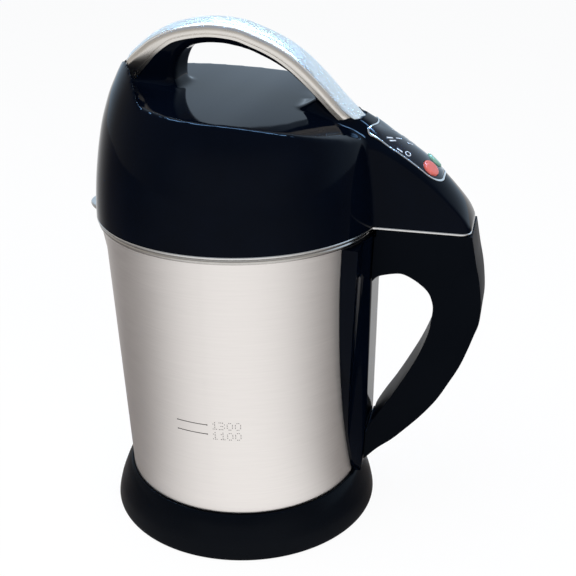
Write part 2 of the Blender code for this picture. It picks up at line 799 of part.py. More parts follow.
def make_heater(materials, parent):
    plate_top_face = mug_floor_height - fit_gap
    plate_bottom_face = plate_top_face - heater_plate_thickness
    disc("heater_plate", heater_plate_radius, plate_bottom_face, plate_top_face,
         materials["aluminium"], parent, steps=round_steps)
    tube_height = plate_bottom_face - fit_gap - heater_tube_radius
    start = heater_open_angle / 2 - math.pi / 2
    end = 2 * math.pi - heater_open_angle / 2 - math.pi / 2
    loop = arc((0, 0), heater_circle_radius, start, end, round_steps // 2)
    points = [(x, y, tube_height) for x, y in loop]
    first, last = points[0], points[-1]
    points.insert(0, (first[0], first[1], tube_height - heater_terminal_length))
    points.append((last[0], last[1], tube_height - heater_terminal_length))
    tube("heater_ring", points, heater_tube_radius, materials["steel"], parent)
    flange_bottom = plate_bottom_face - fit_gap - thermostat_flange
    top = plate_bottom_face - fit_gap
    profile = [
        (0, top - thermostat_height), (thermostat_body_radius, top - thermostat_height),
        (thermostat_body_radius, flange_bottom), (thermostat_radius, flange_bottom),
        (thermostat_radius, top), (0, top),
    ]
    turned("thermostat", profile, materials["bakelite"], parent, small_steps)


def tube(name, points, radius, material, parent):
    curve = bpy.data.curves.new(name, "CURVE")
    curve.dimensions = "3D"
    curve.bevel_depth = radius
    curve.bevel_resolution = 2
    curve.use_fill_caps = True
    curve.render_resolution_u = 0
    spline = curve.splines.new("POLY")
    spline.points.add(len(points) - 1)
    for knot, point in zip(spline.points, points):
        knot.co = (*point, 1)
    curve.materials.append(material)
    piece = bpy.data.objects.new(name, curve)
    bpy.context.scene.collection.objects.link(piece)
    piece.parent = parent
    return piece


def inlet_pin_places():
    return [
        (-inlet_pin_pitch, inlet_centre_height - inlet_earth_rise / 2),
        (0, inlet_centre_height + inlet_earth_rise / 2),
        (inlet_pin_pitch, inlet_centre_height - inlet_earth_rise / 2),
    ]


def make_inlet(materials, parent):
    half_width = inlet_width / 2
    inlet = block("mains_inlet", (-half_width, inlet_face - inlet_depth, inlet_bottom),
                  (half_width, inlet_face, inlet_top), materials["bakelite"], parent)
    socket_back = inlet_face - inlet_socket_depth
    half_socket = inlet_socket_width / 2
    low = inlet_centre_height - inlet_socket_height / 2
    high = inlet_centre_height + inlet_socket_height / 2
    chamfer = inlet_socket_height / 4
    outline = [
        (-half_socket, low), (half_socket, low), (half_socket, high - chamfer),
        (half_socket - chamfer, high), (-half_socket + chamfer, high), (-half_socket, high - chamfer),
    ]
    socket = extruded("inlet socket", outline, socket_back, inlet_face + cut_overrun, None, parent, "Y")
    combine(inlet, socket, "DIFFERENCE")
    half_x = inlet_pin_width / 2
    half_z = inlet_pin_height / 2
    for number, (x, z) in enumerate(inlet_pin_places(), 1):
        pin_back = socket_back - inlet_pin_seat
        block(f"inlet_pin_{number}", (x - half_x, pin_back, z - half_z),
              (x + half_x, pin_back + inlet_pin_length, z + half_z), materials["brass"], parent)
        slot_low = (x - half_x - fit_gap, pin_back - fit_gap, z - half_z - fit_gap)
        slot_high = (x + half_x + fit_gap, socket_back + fit_gap, z + half_z + fit_gap)
        combine(inlet, block(f"inlet slot {number}", slot_low, slot_high, None, parent), "DIFFERENCE")


# Handle

def strap_face_line():
    """Outer face of the strap's rib as (height, distance from the mug's axis)."""
    bottom = base_height + fit_gap
    top = bead_bottom - strap_rim_clearance
    line = []
    for share, _ in strap_angle_shares:
        height = bottom + (top - bottom) * share
        rise = height_at(strap_face_shares, share)
        face = strap_face_foot + (strap_face_top - strap_face_foot) * rise
        line.append((height, max(face, mug_radius_at(height) + fit_gap + strap_thickness)))
    return line


def strap_face_at(height):
    return height_at(strap_face_line(), height)


def make_strap(material, parent):
    """Leaf-shaped flange against the mug, with a raised rib that carries the grip."""
    sections = []
    for (height, face), (_, angle_share) in zip(strap_face_line(), strap_angle_shares):
        half_angle = strap_half_angle * angle_share
        inner_radius = mug_radius_at(height) + fit_gap
        leaf_radius = inner_radius + strap_thickness
        slope_end = min(strap_slope_half_width, leaf_radius * math.sin(half_angle))
        inner, outer = [], []
        for column in range(strap_columns + 1):
            angle = half_angle * (2 * column / strap_columns - 1)
            inner.append((inner_radius * math.cos(angle), inner_radius * math.sin(angle), height))
            y = leaf_radius * math.sin(angle)
            leaf_x = leaf_radius * math.cos(angle)
            if abs(y) <= strap_rib_half_width or slope_end <= strap_rib_half_width:
                rib_x = face
            else:
                slope = (abs(y) - strap_rib_half_width) / (slope_end - strap_rib_half_width)
                edge_x = math.sqrt(leaf_radius ** 2 - slope_end ** 2)
                rib_x = face + (edge_x - face) * min(slope, 1)
            outer.append((max(leaf_x, rib_x), y, height))
        sections.append(outer + inner[::-1])
    strap = lofted("handle_strap", sections, material, parent)
    for name, height in (("low", handle_screw_low_height), ("high", handle_screw_high_height)):
        hole = along_handle(f"{name} strap hole", stud_radius + fit_gap, handle_reach,
                            (0, 0, height), parent)
        combine(strap, hole, "DIFFERENCE")
    combine(strap, ribbon_channel("strap ribbon channel", parent), "DIFFERENCE")
    return strap


def ribbon_path():
    """Middle line of the flat wiring in the plane of the handle, from the base to the socket."""
    lift = 2 * fit_gap + ribbon_thickness / 2
    low, high = ribbon_foot_height, ribbon_turn_height
    rows = 6
    bend_radius = 3 * ribbon_thickness
    path = []
    for row in range(rows + 1):
        height = low + (high - bend_radius - low) * row / rows
        path.append((mug_radius_at(height) + lift, height))
    corner_x = path[-1][0] + bend_radius
    path += arc((corner_x, high - bend_radius), bend_radius, math.pi, math.pi / 2, corner_steps)[1:]
    path.append((socket_near - fit_gap, high))
    return path


def ribbon_outline(thickness):
    path = [Vector(point) for point in ribbon_path()]
    left, right = [], []
    for index, point in enumerate(path):
        before = path[max(index - 1, 0)]
        after = path[min(index + 1, len(path) - 1)]
        along = (after - before).normalized()
        side = Vector((-along.y, along.x)) * (thickness / 2)
        left.append(tuple(point + side))
        right.append(tuple(point - side))
    return left + right[::-1]


def make_wiring(material, parent):
    half = ribbon_width / 2
    extruded("handle_wiring", ribbon_outline(ribbon_thickness), ribbon_offset - half,
             ribbon_offset + half, material, parent, "Y")


def ribbon_channel(name, parent):
    half = ribbon_width / 2 + fit_gap
    return extruded(name, ribbon_outline(ribbon_thickness + 2 * fit_gap + 2 * fit_gap),
                    ribbon_offset - half, ribbon_offset + half, None, parent, "Y")


def grip_face_at(height):
    return strap_face_at(height) + fit_gap


def grip_face_between(low, high):
    """Points of the grip's face against the strap, from a low height to a high one."""
    between = [height for height, _ in strap_face_line() if low < height < high]
    return [(grip_face_at(height), height) for height in [low] + between + [high]]


def make_grip(material, parent):
    outer = smooth_curve(scaled(grip_outer_shares, handle_reach, handle_top))
    hole = smooth_curve(scaled(grip_hole_shares, handle_reach, handle_top))
    foot_height = outer[-1][1]
    face_low = grip_face_between(foot_height, hole[-1][1])
    strap_top = strap_face_line()[-1][0]
    face_high = grip_face_between(hole[0][1], strap_top)
    above_strap = mug_radius_at(handle_top) + bead_proud + 2 * fit_gap
    face_high += [(above_strap, strap_top), (above_strap, handle_top)]
    outline = [point for point in outer if point[0] > grip_face_at(point[1])]
    outline += face_low + [point for point in hole[::-1] if point[0] > grip_face_at(point[1])]
    outline += face_high
    half_width = handle_half_width
    grip = extruded("handle_grip", outline, -half_width, half_width, material, parent, "Y")
    for vertex in grip.data.vertices:
        share = (handle_top - vertex.co.z) / (handle_top - foot_height)
        narrow = half_width + (handle_foot_half_width - half_width) * share
        vertex.co.y = math.copysign(narrow, vertex.co.y)
    round_grip_edges(grip)
    pocket_far = pocket_near + pocket_length
    pocket = block("grip pocket", (pocket_near, -pocket_half_width, handle_top - pocket_depth),
                   (pocket_far, pocket_half_width, handle_top + cut_overrun), None, parent)
    combine(grip, pocket, "DIFFERENCE")
    combine(grip, ribbon_channel("grip ribbon channel", parent), "DIFFERENCE")
    for name, height, sink_length in (
        ("low", handle_screw_low_height, handle_reach), ("high", handle_screw_high_height, pocket_length / 2),
    ):
        shank = along_handle(f"{name} grip hole", screw_hole_radius, handle_reach,
                             (0, 0, height), parent)
        combine(grip, shank, "DIFFERENCE")
        seat = (grip_face_at(height) + pocket_wall, 0, height)
        sink = along_handle(f"{name} grip sink", screw_head_radius + fit_gap, sink_length, seat, parent)
        combine(grip, sink, "DIFFERENCE")
    return grip


def round_grip_edges(grip):
    """Rounds only the long outer edges of the grip, not its faces against the strap and tail."""
    weights = grip.data.attributes.new("bevel_weight_edge", "FLOAT", "EDGE")
    for edge in grip.data.edges:
        ends = [grip.data.vertices[index].co for index in edge.vertices]
        same_side = ends[0].y * ends[1].y > 0
        clear = all(end.x > strap_face_top + cut_overrun / 2 for end in ends)
        if same_side and clear and abs(ends[0].z - ends[1].z) > 0:
            weights.data[edge.index].value = 1
    bevel = grip.modifiers.new("rounded grip", "BEVEL")
    bevel.width = handle_edge_round
    bevel.segments = 2
    bevel.limit_method = "WEIGHT"


def make_socket(material, parent):
    half_width = socket_half_width
    half_wall = socket_half_wall
    edge = pocket_half_width - fit_gap
    near, far = coupler_reach - socket_half_length, coupler_reach + socket_half_length
    socket = block("coupler_socket", (pocket_near + fit_gap, -edge, handle_top - socket_flange),
                   (pocket_near + pocket_length - fit_gap, edge, handle_top), material, parent)
    body = block("socket body", (near - half_wall, -half_width - half_wall, handle_top - socket_depth),
                 (far + half_wall, half_width + half_wall, handle_top - socket_flange / 2), None, parent)
    combine(socket, body, "UNION")
    mouth_floor = handle_top - coupler_drop - 2 * fit_gap
    mouth = block("socket mouth", (near, -half_width, mouth_floor),
                  (far, half_width, handle_top + cut_overrun), None, parent)
    combine(socket, mouth, "DIFFERENCE")
    for number, x in enumerate(coupler_pin_xs(), 1):
        hole = disc(f"socket hole {number}", coupler_pin_radius + fit_gap,
                    mouth_floor - coupler_pin_drop, handle_top, None, parent, (x, 0))
        combine(socket, hole, "DIFFERENCE")


def coupler_pin_xs():
    return [coupler_reach + coupler_pin_pitch * step for step in (-1, 0, 1)]


def make_handle_screws(material, parent):
    for name, height in (("lower", handle_screw_low_height), ("upper", handle_screw_high_height)):
        seat = grip_face_at(height) + pocket_wall + fit_gap
        reach = seat - mug_radius_at(height) - fit_gap
        screw(f"handle_screw_{name}", (seat, 0, height), reach, material, parent, Vector((-1, 0, 0)))


# Head

def head_floor_prism(name, drop, parent):
    """Everything above the recess floor, or above it less a drop."""
    floor = [(x, height - drop) for x, height in floor_curve()]
    ceiling = trim_plane_height + head_height + cut_overrun
    outline = floor + [(floor[-1][0], ceiling), (floor[0][0], ceiling)]
    reach = head_radius + cut_overrun
    return extruded(name, outline, -reach, reach, None, parent, "Y")


def make_head_body(name, material, parent):
    """Dome cut along the side view of the arch, before its recesses and hollow."""
    dome = [(radius, height) for radius, height in dome_profile() if height > head_bottom]
    foot = [(0, head_bottom - cut_overrun), (head_radius, head_bottom - cut_overrun)]
    body = turned(name, foot + dome, material, parent, mug_steps)
    arch = [point for point in arch_top_curve() if point[0] <= arch_end_reach]
    ceiling = trim_plane_height + head_height + cut_overrun
    reach = head_radius + cut_overrun
    keep_left = max(arch, key=lambda point: point[1])[0]
    outline = [(-reach, head_bottom - 2 * cut_overrun), (reach, head_bottom - 2 * cut_overrun)]
    floor = [point for point in floor_curve() if point[0] > arch[-1][0]]
    outline += [(reach, floor[-1][1])] + floor[::-1][1:]
    outline += [(arch[-1][0], height_at(floor_curve(), arch[-1][0]))]
    outline += [point for point in arch[::-1] if point[0] > keep_left]
    outline += [(keep_left, ceiling), (-reach, ceiling)]
    side = extruded("head side view", outline, -reach, reach, None, parent, "Y")
    combine(body, side, "INTERSECT")
    return body


def tail_section(x, inset, roof, bottom):
    half = tail_half_width - inset
    columns = 8
    crown = []
    for column in range(columns + 1):
        y = half * (2 * column / columns - 1)
        crown.append((x, y, tail_height(x, y) - roof))
    return [(x, -half, bottom)] + crown + [(x, half, bottom)]


def make_tail_loft(name, inset, roof, bottom, start, end, parent):
    rows = 20
    stations = [start + (end - start) * row / rows for row in range(rows + 1)]
    sections = []
    for x in stations:
        section = tail_section(x, inset, roof, bottom)
        crown = [(a, b, max(c, bottom + fit_gap)) for a, b, c in section[1:-1]]
        sections.append([section[0]] + crown + [section[-1]])
    return lofted(name, sections, None, parent)


def make_recess(parent):
    """Finger recesses in front of and behind the arch, with the opening under it."""
    reach = head_radius + cut_overrun
    low = trim_plane_height
    high = trim_plane_height + head_height + cut_overrun
    slope = (recess_foot_reach - recess_corner_reach) / (recess_corner_depth - arch_half_width)
    far_x = -recess_corner_reach + slope * (reach - recess_corner_depth)
    plan = [
        (-recess_foot_reach, -arch_half_width), (far_x, -reach), (reach, -reach),
        (reach, reach), (far_x, reach), (-recess_foot_reach, arch_half_width),
    ]
    recess = extruded("finger recess", plan, low, high, None, parent)
    combine(recess, head_floor_prism("above recess floor", 0, parent), "INTERSECT")
    hole = smooth_curve(scaled(hole_shares, tail_reach, head_height, trim_plane_height))
    outline = [(-reach, hole[0][1])] + hole + [(reach, hole[-1][1]), (reach, high), (-reach, high)]
    arch = extruded("arch kept", outline, -arch_half_width, arch_half_width, None, parent, "Y")
    combine(recess, arch, "DIFFERENCE")
    return recess


def make_head_shell(material, parent):
    shell = make_head_body("head_shell", material, parent)
    combine(shell, make_recess(parent), "DIFFERENCE")
    below = head_bottom - 2 * cut_overrun
    tail = make_tail_loft("tail body", 0, 0, below, tail_root_reach, tail_reach, parent)
    plan = extruded("tail plan", plan_outline(), head_bottom - cut_overrun,
                    trim_plane_height + head_height, None, parent)
    combine(tail, plan, "INTERSECT")
    combine(shell, tail, "UNION")
    reach = head_radius + tail_reach
    foot = block("cut under head", (-reach, -reach, below - cut_overrun), (reach, reach, head_bottom),
                 None, parent)
    combine(shell, foot, "DIFFERENCE")
    inside = [(radius, height) for radius, height in dome_profile(head_wall) if height > head_bottom]
    profile = [(0, below - cut_overrun), (head_radius - head_wall, below - cut_overrun)] + inside
    hollow = turned("head hollow", profile, None, parent, mug_steps)
    combine(hollow, head_floor_prism("above head hollow", head_wall, parent), "DIFFERENCE")
    tail_hollow = make_tail_loft("tail hollow", head_wall, tail_roof, below - 2 * cut_overrun,
                                 tail_hollow_reach, tail_reach - 2 * head_wall, parent)
    combine(hollow, tail_hollow, "UNION")
    combine(shell, hollow, "DIFFERENCE")
    for number, angle in enumerate(head_screw_angles, 1):
        x, y = around(angle, head_screw_circle_radius)
        top = height_at(floor_curve(), x) - head_wall + weld_overlap
        boss_foot = housing_floor_top + fit_gap
        boss = disc(f"head boss {number}", head_boss_radius, boss_foot, top, None, parent, (x, y))
        combine(shell, boss, "UNION")
        hole = disc(f"head boss hole {number}", screw_hole_radius, boss_foot - cut_overrun,
                    boss_foot + head_screw_length, None, parent, (x, y))
        combine(shell, hole, "DIFFERENCE")
    combine(shell, make_strip_sweep("strip pocket", strip_gap, 0, None, parent), "DIFFERENCE")
    pocket = panel_patch("panel pocket", panel_frame_width + 2 * fit_gap, -panel_thickness - fit_gap,
                         cut_overrun, parent)
    combine(shell, pocket, "DIFFERENCE")
    for y in (-button_offset, button_offset):
        well = button_cylinder("button well", button_flange_radius + fit_gap, -cut_overrun * 2,
                               cut_overrun, y, parent)
        combine(shell, well, "DIFFERENCE")
    combine(shell, make_board_boss(parent), "UNION")
    return shell


def make_trim(material, parent):
    trim = extruded("head_trim", plan_outline(), trim_bottom, trim_top, material, parent)
    inside = extruded("trim inside", plan_outline(trim_width), trim_bottom - cut_overrun,
                      trim_top + cut_overrun, None, parent)
    combine(trim, inside, "DIFFERENCE")
    return trim


def strip_stations(end_gap):
    """Places along the top of the arch, each with its normal and its share of the strip's width."""
    curve = [point for point in arch_top_curve() if -strip_left_reach <= point[0] <= strip_right_reach]
    lengths = [0]
    for near, far in zip(curve, curve[1:]):
        lengths.append(lengths[-1] + math.dist(near, far))
    across = [(length, x) for length, (x, _) in zip(lengths, curve)]
    up = [(length, z) for length, (_, z) in zip(lengths, curve)]
    total = lengths[-1]
    tongue = [strip_tongue * share for share, _ in tongue_shares]
    middle = [strip_tongue + (total - 2 * strip_tongue) * row / strip_rows for row in range(1, strip_rows)]
    left = [end_gap] + tongue[1:]
    distances = left + middle + [total - distance for distance in left[::-1]]
    widths = scaled(tongue_shares, strip_tongue, 1)
    stations = []
    for distance in distances:
        low = max(distance - strip_slope_step, 0)
        high = min(distance + strip_slope_step, total)
        run = height_at(across, high) - height_at(across, low)
        rise = height_at(up, high) - height_at(up, low)
        place = Vector((height_at(across, distance), height_at(up, distance)))
        width_share = height_at(widths, min(distance, total - distance))
        stations.append((place, Vector((-rise, run)).normalized(), width_share))
    return stations


def strip_section(half_width, swell):
    """Channel section as (y, distance out of the arch), crowned on top and with two legs."""
    leg = strip_leg + swell
    inner = strip_thickness + swell
    out = cut_overrun if swell else 0
    side = []
    for along, drop in strip_corner_shares:
        side.append((half_width + swell - strip_corner * along, out - strip_crown - strip_corner * drop))
    outer = [(half_width + swell, -leg)] + side + [(0, out)]
    outer += [(-y, n) for y, n in side[::-1]] + [(-half_width - swell, -leg)]
    within = half_width - inner
    roof = -strip_crown - inner
    return outer + [(-within, -leg), (-within, roof), (within, roof), (within, -leg)]


def make_strip_sweep(name, swell, end_gap, material, parent):
    sections = []
    for point, normal, width_share in strip_stations(end_gap):
        section = []
        for y, out in strip_section(arch_half_width * width_share, swell):
            place = point + normal * out
            section.append((place.x, y, place.y))
        sections.append(section)
    return lofted(name, sections, material, parent)


# Control panel

def panel_patch(name, grow, low, high, parent, material=None):
    """Part of a sheet parallel to the top of the tail, cut to the panel's plan."""
    rows, columns = 10, 8
    start, end = panel_near_reach - cut_overrun, panel_far_reach + cut_overrun
    half = tail_half_width
    sections = []
    for row in range(rows + 1):
        x = start + (end - start) * row / rows
        under, over = [], []
        for column in range(columns + 1):
            y = half * (2 * column / columns - 1)
            base = Vector((x, y, tail_height(x, y)))
            normal = tail_normal(x, y)
            under.append(tuple(base + normal * low))
            over.append(tuple(base + normal * high))
        sections.append(under + over[::-1])
    patch = lofted(name, sections, material, parent)
    plan = extruded(f"{name} plan", rounded_rectangle(
        (panel_near_reach - grow, -panel_half_width - grow),
        (panel_far_reach + grow, panel_half_width + grow), panel_corner_radius + grow),
        trim_plane_height, trim_plane_height + head_height, None, parent)
    combine(patch, plan, "INTERSECT")
    return patch


def button_place(y):
    base = Vector((button_reach, y, tail_height(button_reach, y)))
    return base, tail_normal(button_reach, y)


def button_frame_piece(name, profile, y, parent, material=None, shift=0.0):
    """Turned shape about the normal of the panel at a button."""
    base, normal = button_place(y)
    piece = turned(name, profile, material, parent, button_steps)
    piece.rotation_euler = Vector((0, 0, 1)).rotation_difference(normal).to_euler()
    piece.location = base + normal * shift
    return piece


def button_cylinder(name, radius, low, high, y, parent):
    return button_frame_piece(name, [(0, low), (radius, low), (radius, high), (0, high)], y, parent)


def board_depth():
    """Depth of the control board's upper face under the top of the tail."""
    return (panel_thickness + panel_curve_room + button_flange_height + 2 * fit_gap + button_travel
            + button_stem_length + button_tilt_room + switch_height)


def board_turn():
    """Turn from the machine's frame to the control board's."""
    _, normal = button_place(0)
    return Vector((0, 0, 1)).rotation_difference(normal)


def make_board_boss(parent):
    base, _ = button_place(0)
    boss = disc("board boss", board_boss_radius, -board_depth() + fit_gap, -tail_roof / 2, None, parent)
    boss.rotation_euler = board_turn().to_euler()
    boss.location = base + board_turn() @ Vector((-board_boss_back, 0, 0))
    return boss


def make_panel(materials, parent):
    panel = panel_patch("panel_plate", 0, -panel_thickness, 0, parent, materials["panel"])
    frame = panel_patch("panel_frame", panel_frame_width + fit_gap, -panel_thickness, panel_frame_proud,
                        parent, materials["silver"])
    opening = panel_patch("frame opening", fit_gap, -panel_thickness - cut_overrun / 2,
                          cut_overrun / 2, parent)
    combine(frame, opening, "DIFFERENCE")
    for y in (-button_offset, button_offset):
        hole = button_cylinder("panel hole", button_radius + fit_gap, -cut_overrun, cut_overrun, y,
                               parent)
        combine(panel, hole, "DIFFERENCE")


def make_button(name, y, material, parent):
    """Push button: its origin is on the panel, and it travels along the panel's normal."""
    flange_top = -panel_thickness - panel_curve_room - fit_gap
    flange_bottom = flange_top - button_flange_height
    stem_bottom = flange_bottom - button_stem_length
    profile = [
        (0, stem_bottom), (button_stem_radius, stem_bottom), (button_stem_radius, flange_bottom),
        (button_flange_radius, flange_bottom), (button_flange_radius, flange_top),
        (button_radius, flange_top), (button_radius, button_proud - button_round),
        (button_radius - button_round, button_proud), (0, button_proud),
    ]
    return button_frame_piece(name, profile, y, parent, material)


def make_control_board(material, parent):
    depth = board_depth()
    forward = board_length / 4
    board = block("control_board", (forward - board_length, -board_width / 2, -depth - board_thickness),
                  (forward, board_width / 2, -depth), material, parent)
    board.rotation_euler = board_turn().to_euler()
    board.location = button_place(0)[0]
    return board


def make_switch(name, y, material, parent):
    """Switch on the control board, where a button's axis meets the board."""
    board_base, board_normal = button_place(0)
    base, normal = button_place(y)
    drop = board_depth() + (base - board_base).dot(board_normal)
    half = switch_width / 2
    switch = block(name, (-half, -half, fit_gap), (half, half, switch_height), material, parent)
    switch.rotation_euler = board_turn().to_euler()
    switch.location = base - normal * (drop / normal.dot(board_normal))
    return switch


# Coupler

def make_coupler(materials, parent):
    half_length = coupler_length / 2
    half_width = coupler_width / 2
    plug_low = trim_bottom - coupler_drop
    plug_high = trim_top + coupler_rise
    plug = block("coupler_plug", (coupler_reach - half_length, -half_width, plug_low),
                 (coupler_reach + half_length, half_width, plug_high), materials["bakelite"], parent)
    cover_low = trim_bottom
    cover_high = trim_bottom + tail_cover_rise
    inner = tail_half_width - trim_width - fit_gap
    reach = tail_end_reach - trim_width - fit_gap
    start = housing_flange_radius + fit_gap
    outline = rounded_rectangle((start, -inner), (reach, inner), tail_corner_radius)
    cover = extruded("tail_cover", outline, cover_low, cover_high, materials["black"], parent)
    hole_length = half_length + fit_gap
    hole_width = half_width + fit_gap
    hole = block("cover hole", (coupler_reach - hole_length, -hole_width, cover_low - cut_overrun),
                 (coupler_reach + hole_length, hole_width, cover_high + cut_overrun), None, parent)
    combine(cover, hole, "DIFFERENCE")
    for number, x in enumerate(coupler_pin_xs(), 1):
        low = plug_low - coupler_pin_drop
        high = plug_high - weld_overlap
        disc(f"coupler_pin_{number}", coupler_pin_radius, low, high, materials["brass"], parent, (x, 0))
        bore = disc(f"plug bore {number}", coupler_pin_radius + fit_gap, plug_low - cut_overrun,
                    high + fit_gap, None, parent, (x, 0))
        combine(plug, bore, "DIFFERENCE")


# Lower housing and what hangs from it

def probe_places():
    overflow = around(overflow_probe_angle, overflow_probe_reach)
    temperature = around(temperature_probe_angle, temperature_probe_reach)
    return {
        "overflow_probe": (overflow, overflow_probe_length),
        "temperature_probe": (temperature, temperature_probe_length),
    }


def make_housing(material, parent):
    floor_edge = housing_radius - housing_slope_width
    slope_top = housing_floor_bottom + housing_slope
    seal_top = trim_bottom - seal_depth
    seal_bottom = seal_top - seal_height
    groove = housing_radius - seal_groove
    inner = housing_radius - housing_wall
    flange_bottom = trim_top + fit_gap
    flange_top = flange_bottom + housing_flange
    profile = [
        (bearing_radius, housing_floor_bottom), (floor_edge, housing_floor_bottom),
        (housing_radius, slope_top), (housing_radius, seal_bottom - fit_gap),
        (groove, seal_bottom - fit_gap),
        (groove, seal_top + fit_gap), (housing_radius, seal_top + fit_gap),
        (housing_radius, flange_bottom), (housing_flange_radius, flange_bottom),
        (housing_flange_radius, flange_top), (inner, flange_top), (inner, slope_top + housing_wall / 2),
        (floor_edge - housing_wall / 2, housing_floor_top), (bearing_radius, housing_floor_top),
    ]
    housing = turned("lower_housing", profile, material, parent, mug_steps)
    for number, angle in enumerate(head_screw_angles, 1):
        place = around(angle, head_screw_circle_radius)
        hole = disc(f"housing screw hole {number}", screw_hole_radius, housing_floor_bottom - cut_overrun,
                    housing_floor_top + cut_overrun, None, parent, place)
        combine(housing, hole, "DIFFERENCE")
    for name, (place, _) in probe_places().items():
        hole = disc(f"{name} hole", probe_radius + fit_gap, housing_floor_bottom - cut_overrun,
                    housing_floor_top + cut_overrun, None, parent, place)
        combine(housing, hole, "DIFFERENCE")
    return housing


def make_seal(material, parent):
    top = trim_bottom - seal_depth
    bottom = top - seal_height
    inner = housing_radius - seal_groove + fit_gap
    outer = mug_radius_at(bottom) - mug_wall - seal_squeeze_gap
    ring("head_seal", inner, outer, bottom, top, material, parent, mug_steps)


def make_probes(material, parent):
    for name, (place, length) in probe_places().items():
        flange_bottom = housing_floor_top + fit_gap
        tip = housing_floor_bottom - length
        profile = [
            (0, tip), (probe_radius / 2, tip), (probe_radius, tip + probe_radius),
            (probe_radius, flange_bottom), (probe_flange_radius, flange_bottom),
            (probe_flange_radius, flange_bottom + probe_flange), (0, flange_bottom + probe_flange),
        ]
        turned(name, profile, material, parent, small_steps, place=(*place, 0))


def make_head_screws(material, parent):
    for number, angle in enumerate(head_screw_angles, 1):
        x, y = around(angle, head_screw_circle_radius)
        seat = housing_floor_bottom - fit_gap
        screw(f"head_screw_{number}", (x, y, seat), head_screw_length, material, parent)


def make_sleeve(material, parent):
    inner = sleeve_radius - sleeve_wall
    hole = shaft_seal_radius + fit_gap
    cup_outer = bearing_radius + fit_gap + bearing_cup_wall
    cup_inner = bearing_radius + fit_gap
    floor_top = sleeve_bottom + sleeve_floor
    cup_top = floor_top + bearing_height + fit_gap
    profile = [
        (hole, sleeve_bottom), (sleeve_radius, sleeve_bottom), (sleeve_radius, sleeve_top - sleeve_flange),
        (sleeve_flange_radius, sleeve_top - sleeve_flange), (sleeve_flange_radius, sleeve_top),
        (inner, sleeve_top), (inner, floor_top), (cup_outer, floor_top), (cup_outer, cup_top),
        (cup_inner, cup_top), (cup_inner, floor_top), (hole, floor_top),
    ]
    turned("motor_sleeve", profile, material, parent, round_steps)


def make_bearings(materials, parent):
    low = sleeve_bottom + sleeve_floor + fit_gap
    ring("lower_bearing", shaft_radius + fit_gap, bearing_radius, low, low + bearing_height,
         materials["steel"], parent, small_steps * 2)
    bracket_top = can_top + fit_gap + bracket_thickness
    low = bracket_top + fit_gap
    ring("upper_bearing", shaft_radius + fit_gap, bearing_radius, low, low + bearing_height,
         materials["steel"], parent, small_steps * 2)
    ring("shaft_seal", shaft_radius + fit_gap, shaft_seal_radius, sleeve_bottom - fit_gap,
         sleeve_bottom + sleeve_floor, materials["rubber"], parent, small_steps * 2)


def make_motor(materials, parent):
    inner = can_radius - can_wall
    opening = bearing_radius
    can_profile = [
        (opening, can_bottom), (can_radius, can_bottom), (can_radius, can_top), (inner, can_top),
        (inner, can_bottom + can_wall), (opening, can_bottom + can_wall),
    ]
    can = turned("motor_can", can_profile, materials["steel"], parent, round_steps)
    seat_bottom = can_bottom + can_wall / 2
    seat_top = can_bottom + stator_rise - fit_gap
    seat = ring("stator seat", inner - 3 * can_wall, inner + can_wall / 2, seat_bottom, seat_top,
                None, parent)
    combine(can, seat, "UNION")
    stator_bottom = can_bottom + stator_rise
    ring("motor_stator", stator_inner_radius, inner - fit_gap, stator_bottom,
         stator_bottom + stator_height, materials["copper"], parent)
    cup_outer = bearing_radius + fit_gap + bearing_cup_wall
    cup_inner = bearing_radius + fit_gap
    low = can_top + fit_gap
    high = low + bracket_thickness
    cup_top = high + bearing_height + fit_gap
    profile = [
        (shaft_radius + rotor_gap, low), (can_radius, low), (can_radius, high), (cup_outer, high),
        (cup_outer, cup_top), (cup_inner, cup_top), (cup_inner, high), (shaft_radius + rotor_gap, high),
    ]
    turned("motor_bracket", profile, materials["aluminium"], parent, round_steps)


def make_rotor(materials, parent):
    """Rotating pieces, all about the mug's axis."""
    bracket_top = can_top + fit_gap + bracket_thickness
    shaft_top = bracket_top + shaft_top_length
    shaft_bottom = blade_height - shaft_tip_length
    disc("motor_shaft", shaft_radius, shaft_bottom, shaft_top, materials["steel"], parent,
         steps=small_steps * 2)
    stator_bottom = can_bottom + stator_rise
    ring("rotor_core", shaft_radius + fit_gap, stator_inner_radius - rotor_gap, stator_bottom,
         stator_bottom + stator_height, materials["steel"], parent)
    make_blade(materials["stainless"], parent)
    nut_top = blade_height - fit_gap
    nut = disc("blade_nut", nut_radius, nut_top - nut_height, nut_top, materials["stainless"], parent,
               steps=nut_sides)
    bore = disc("nut bore", shaft_radius + fit_gap, shaft_bottom - fit_gap - cut_overrun,
                nut_top + cut_overrun, None, parent)
    combine(nut, bore, "DIFFERENCE")
    make_fan(materials["fan"], parent, bracket_top + bearing_height + 3 * fit_gap)


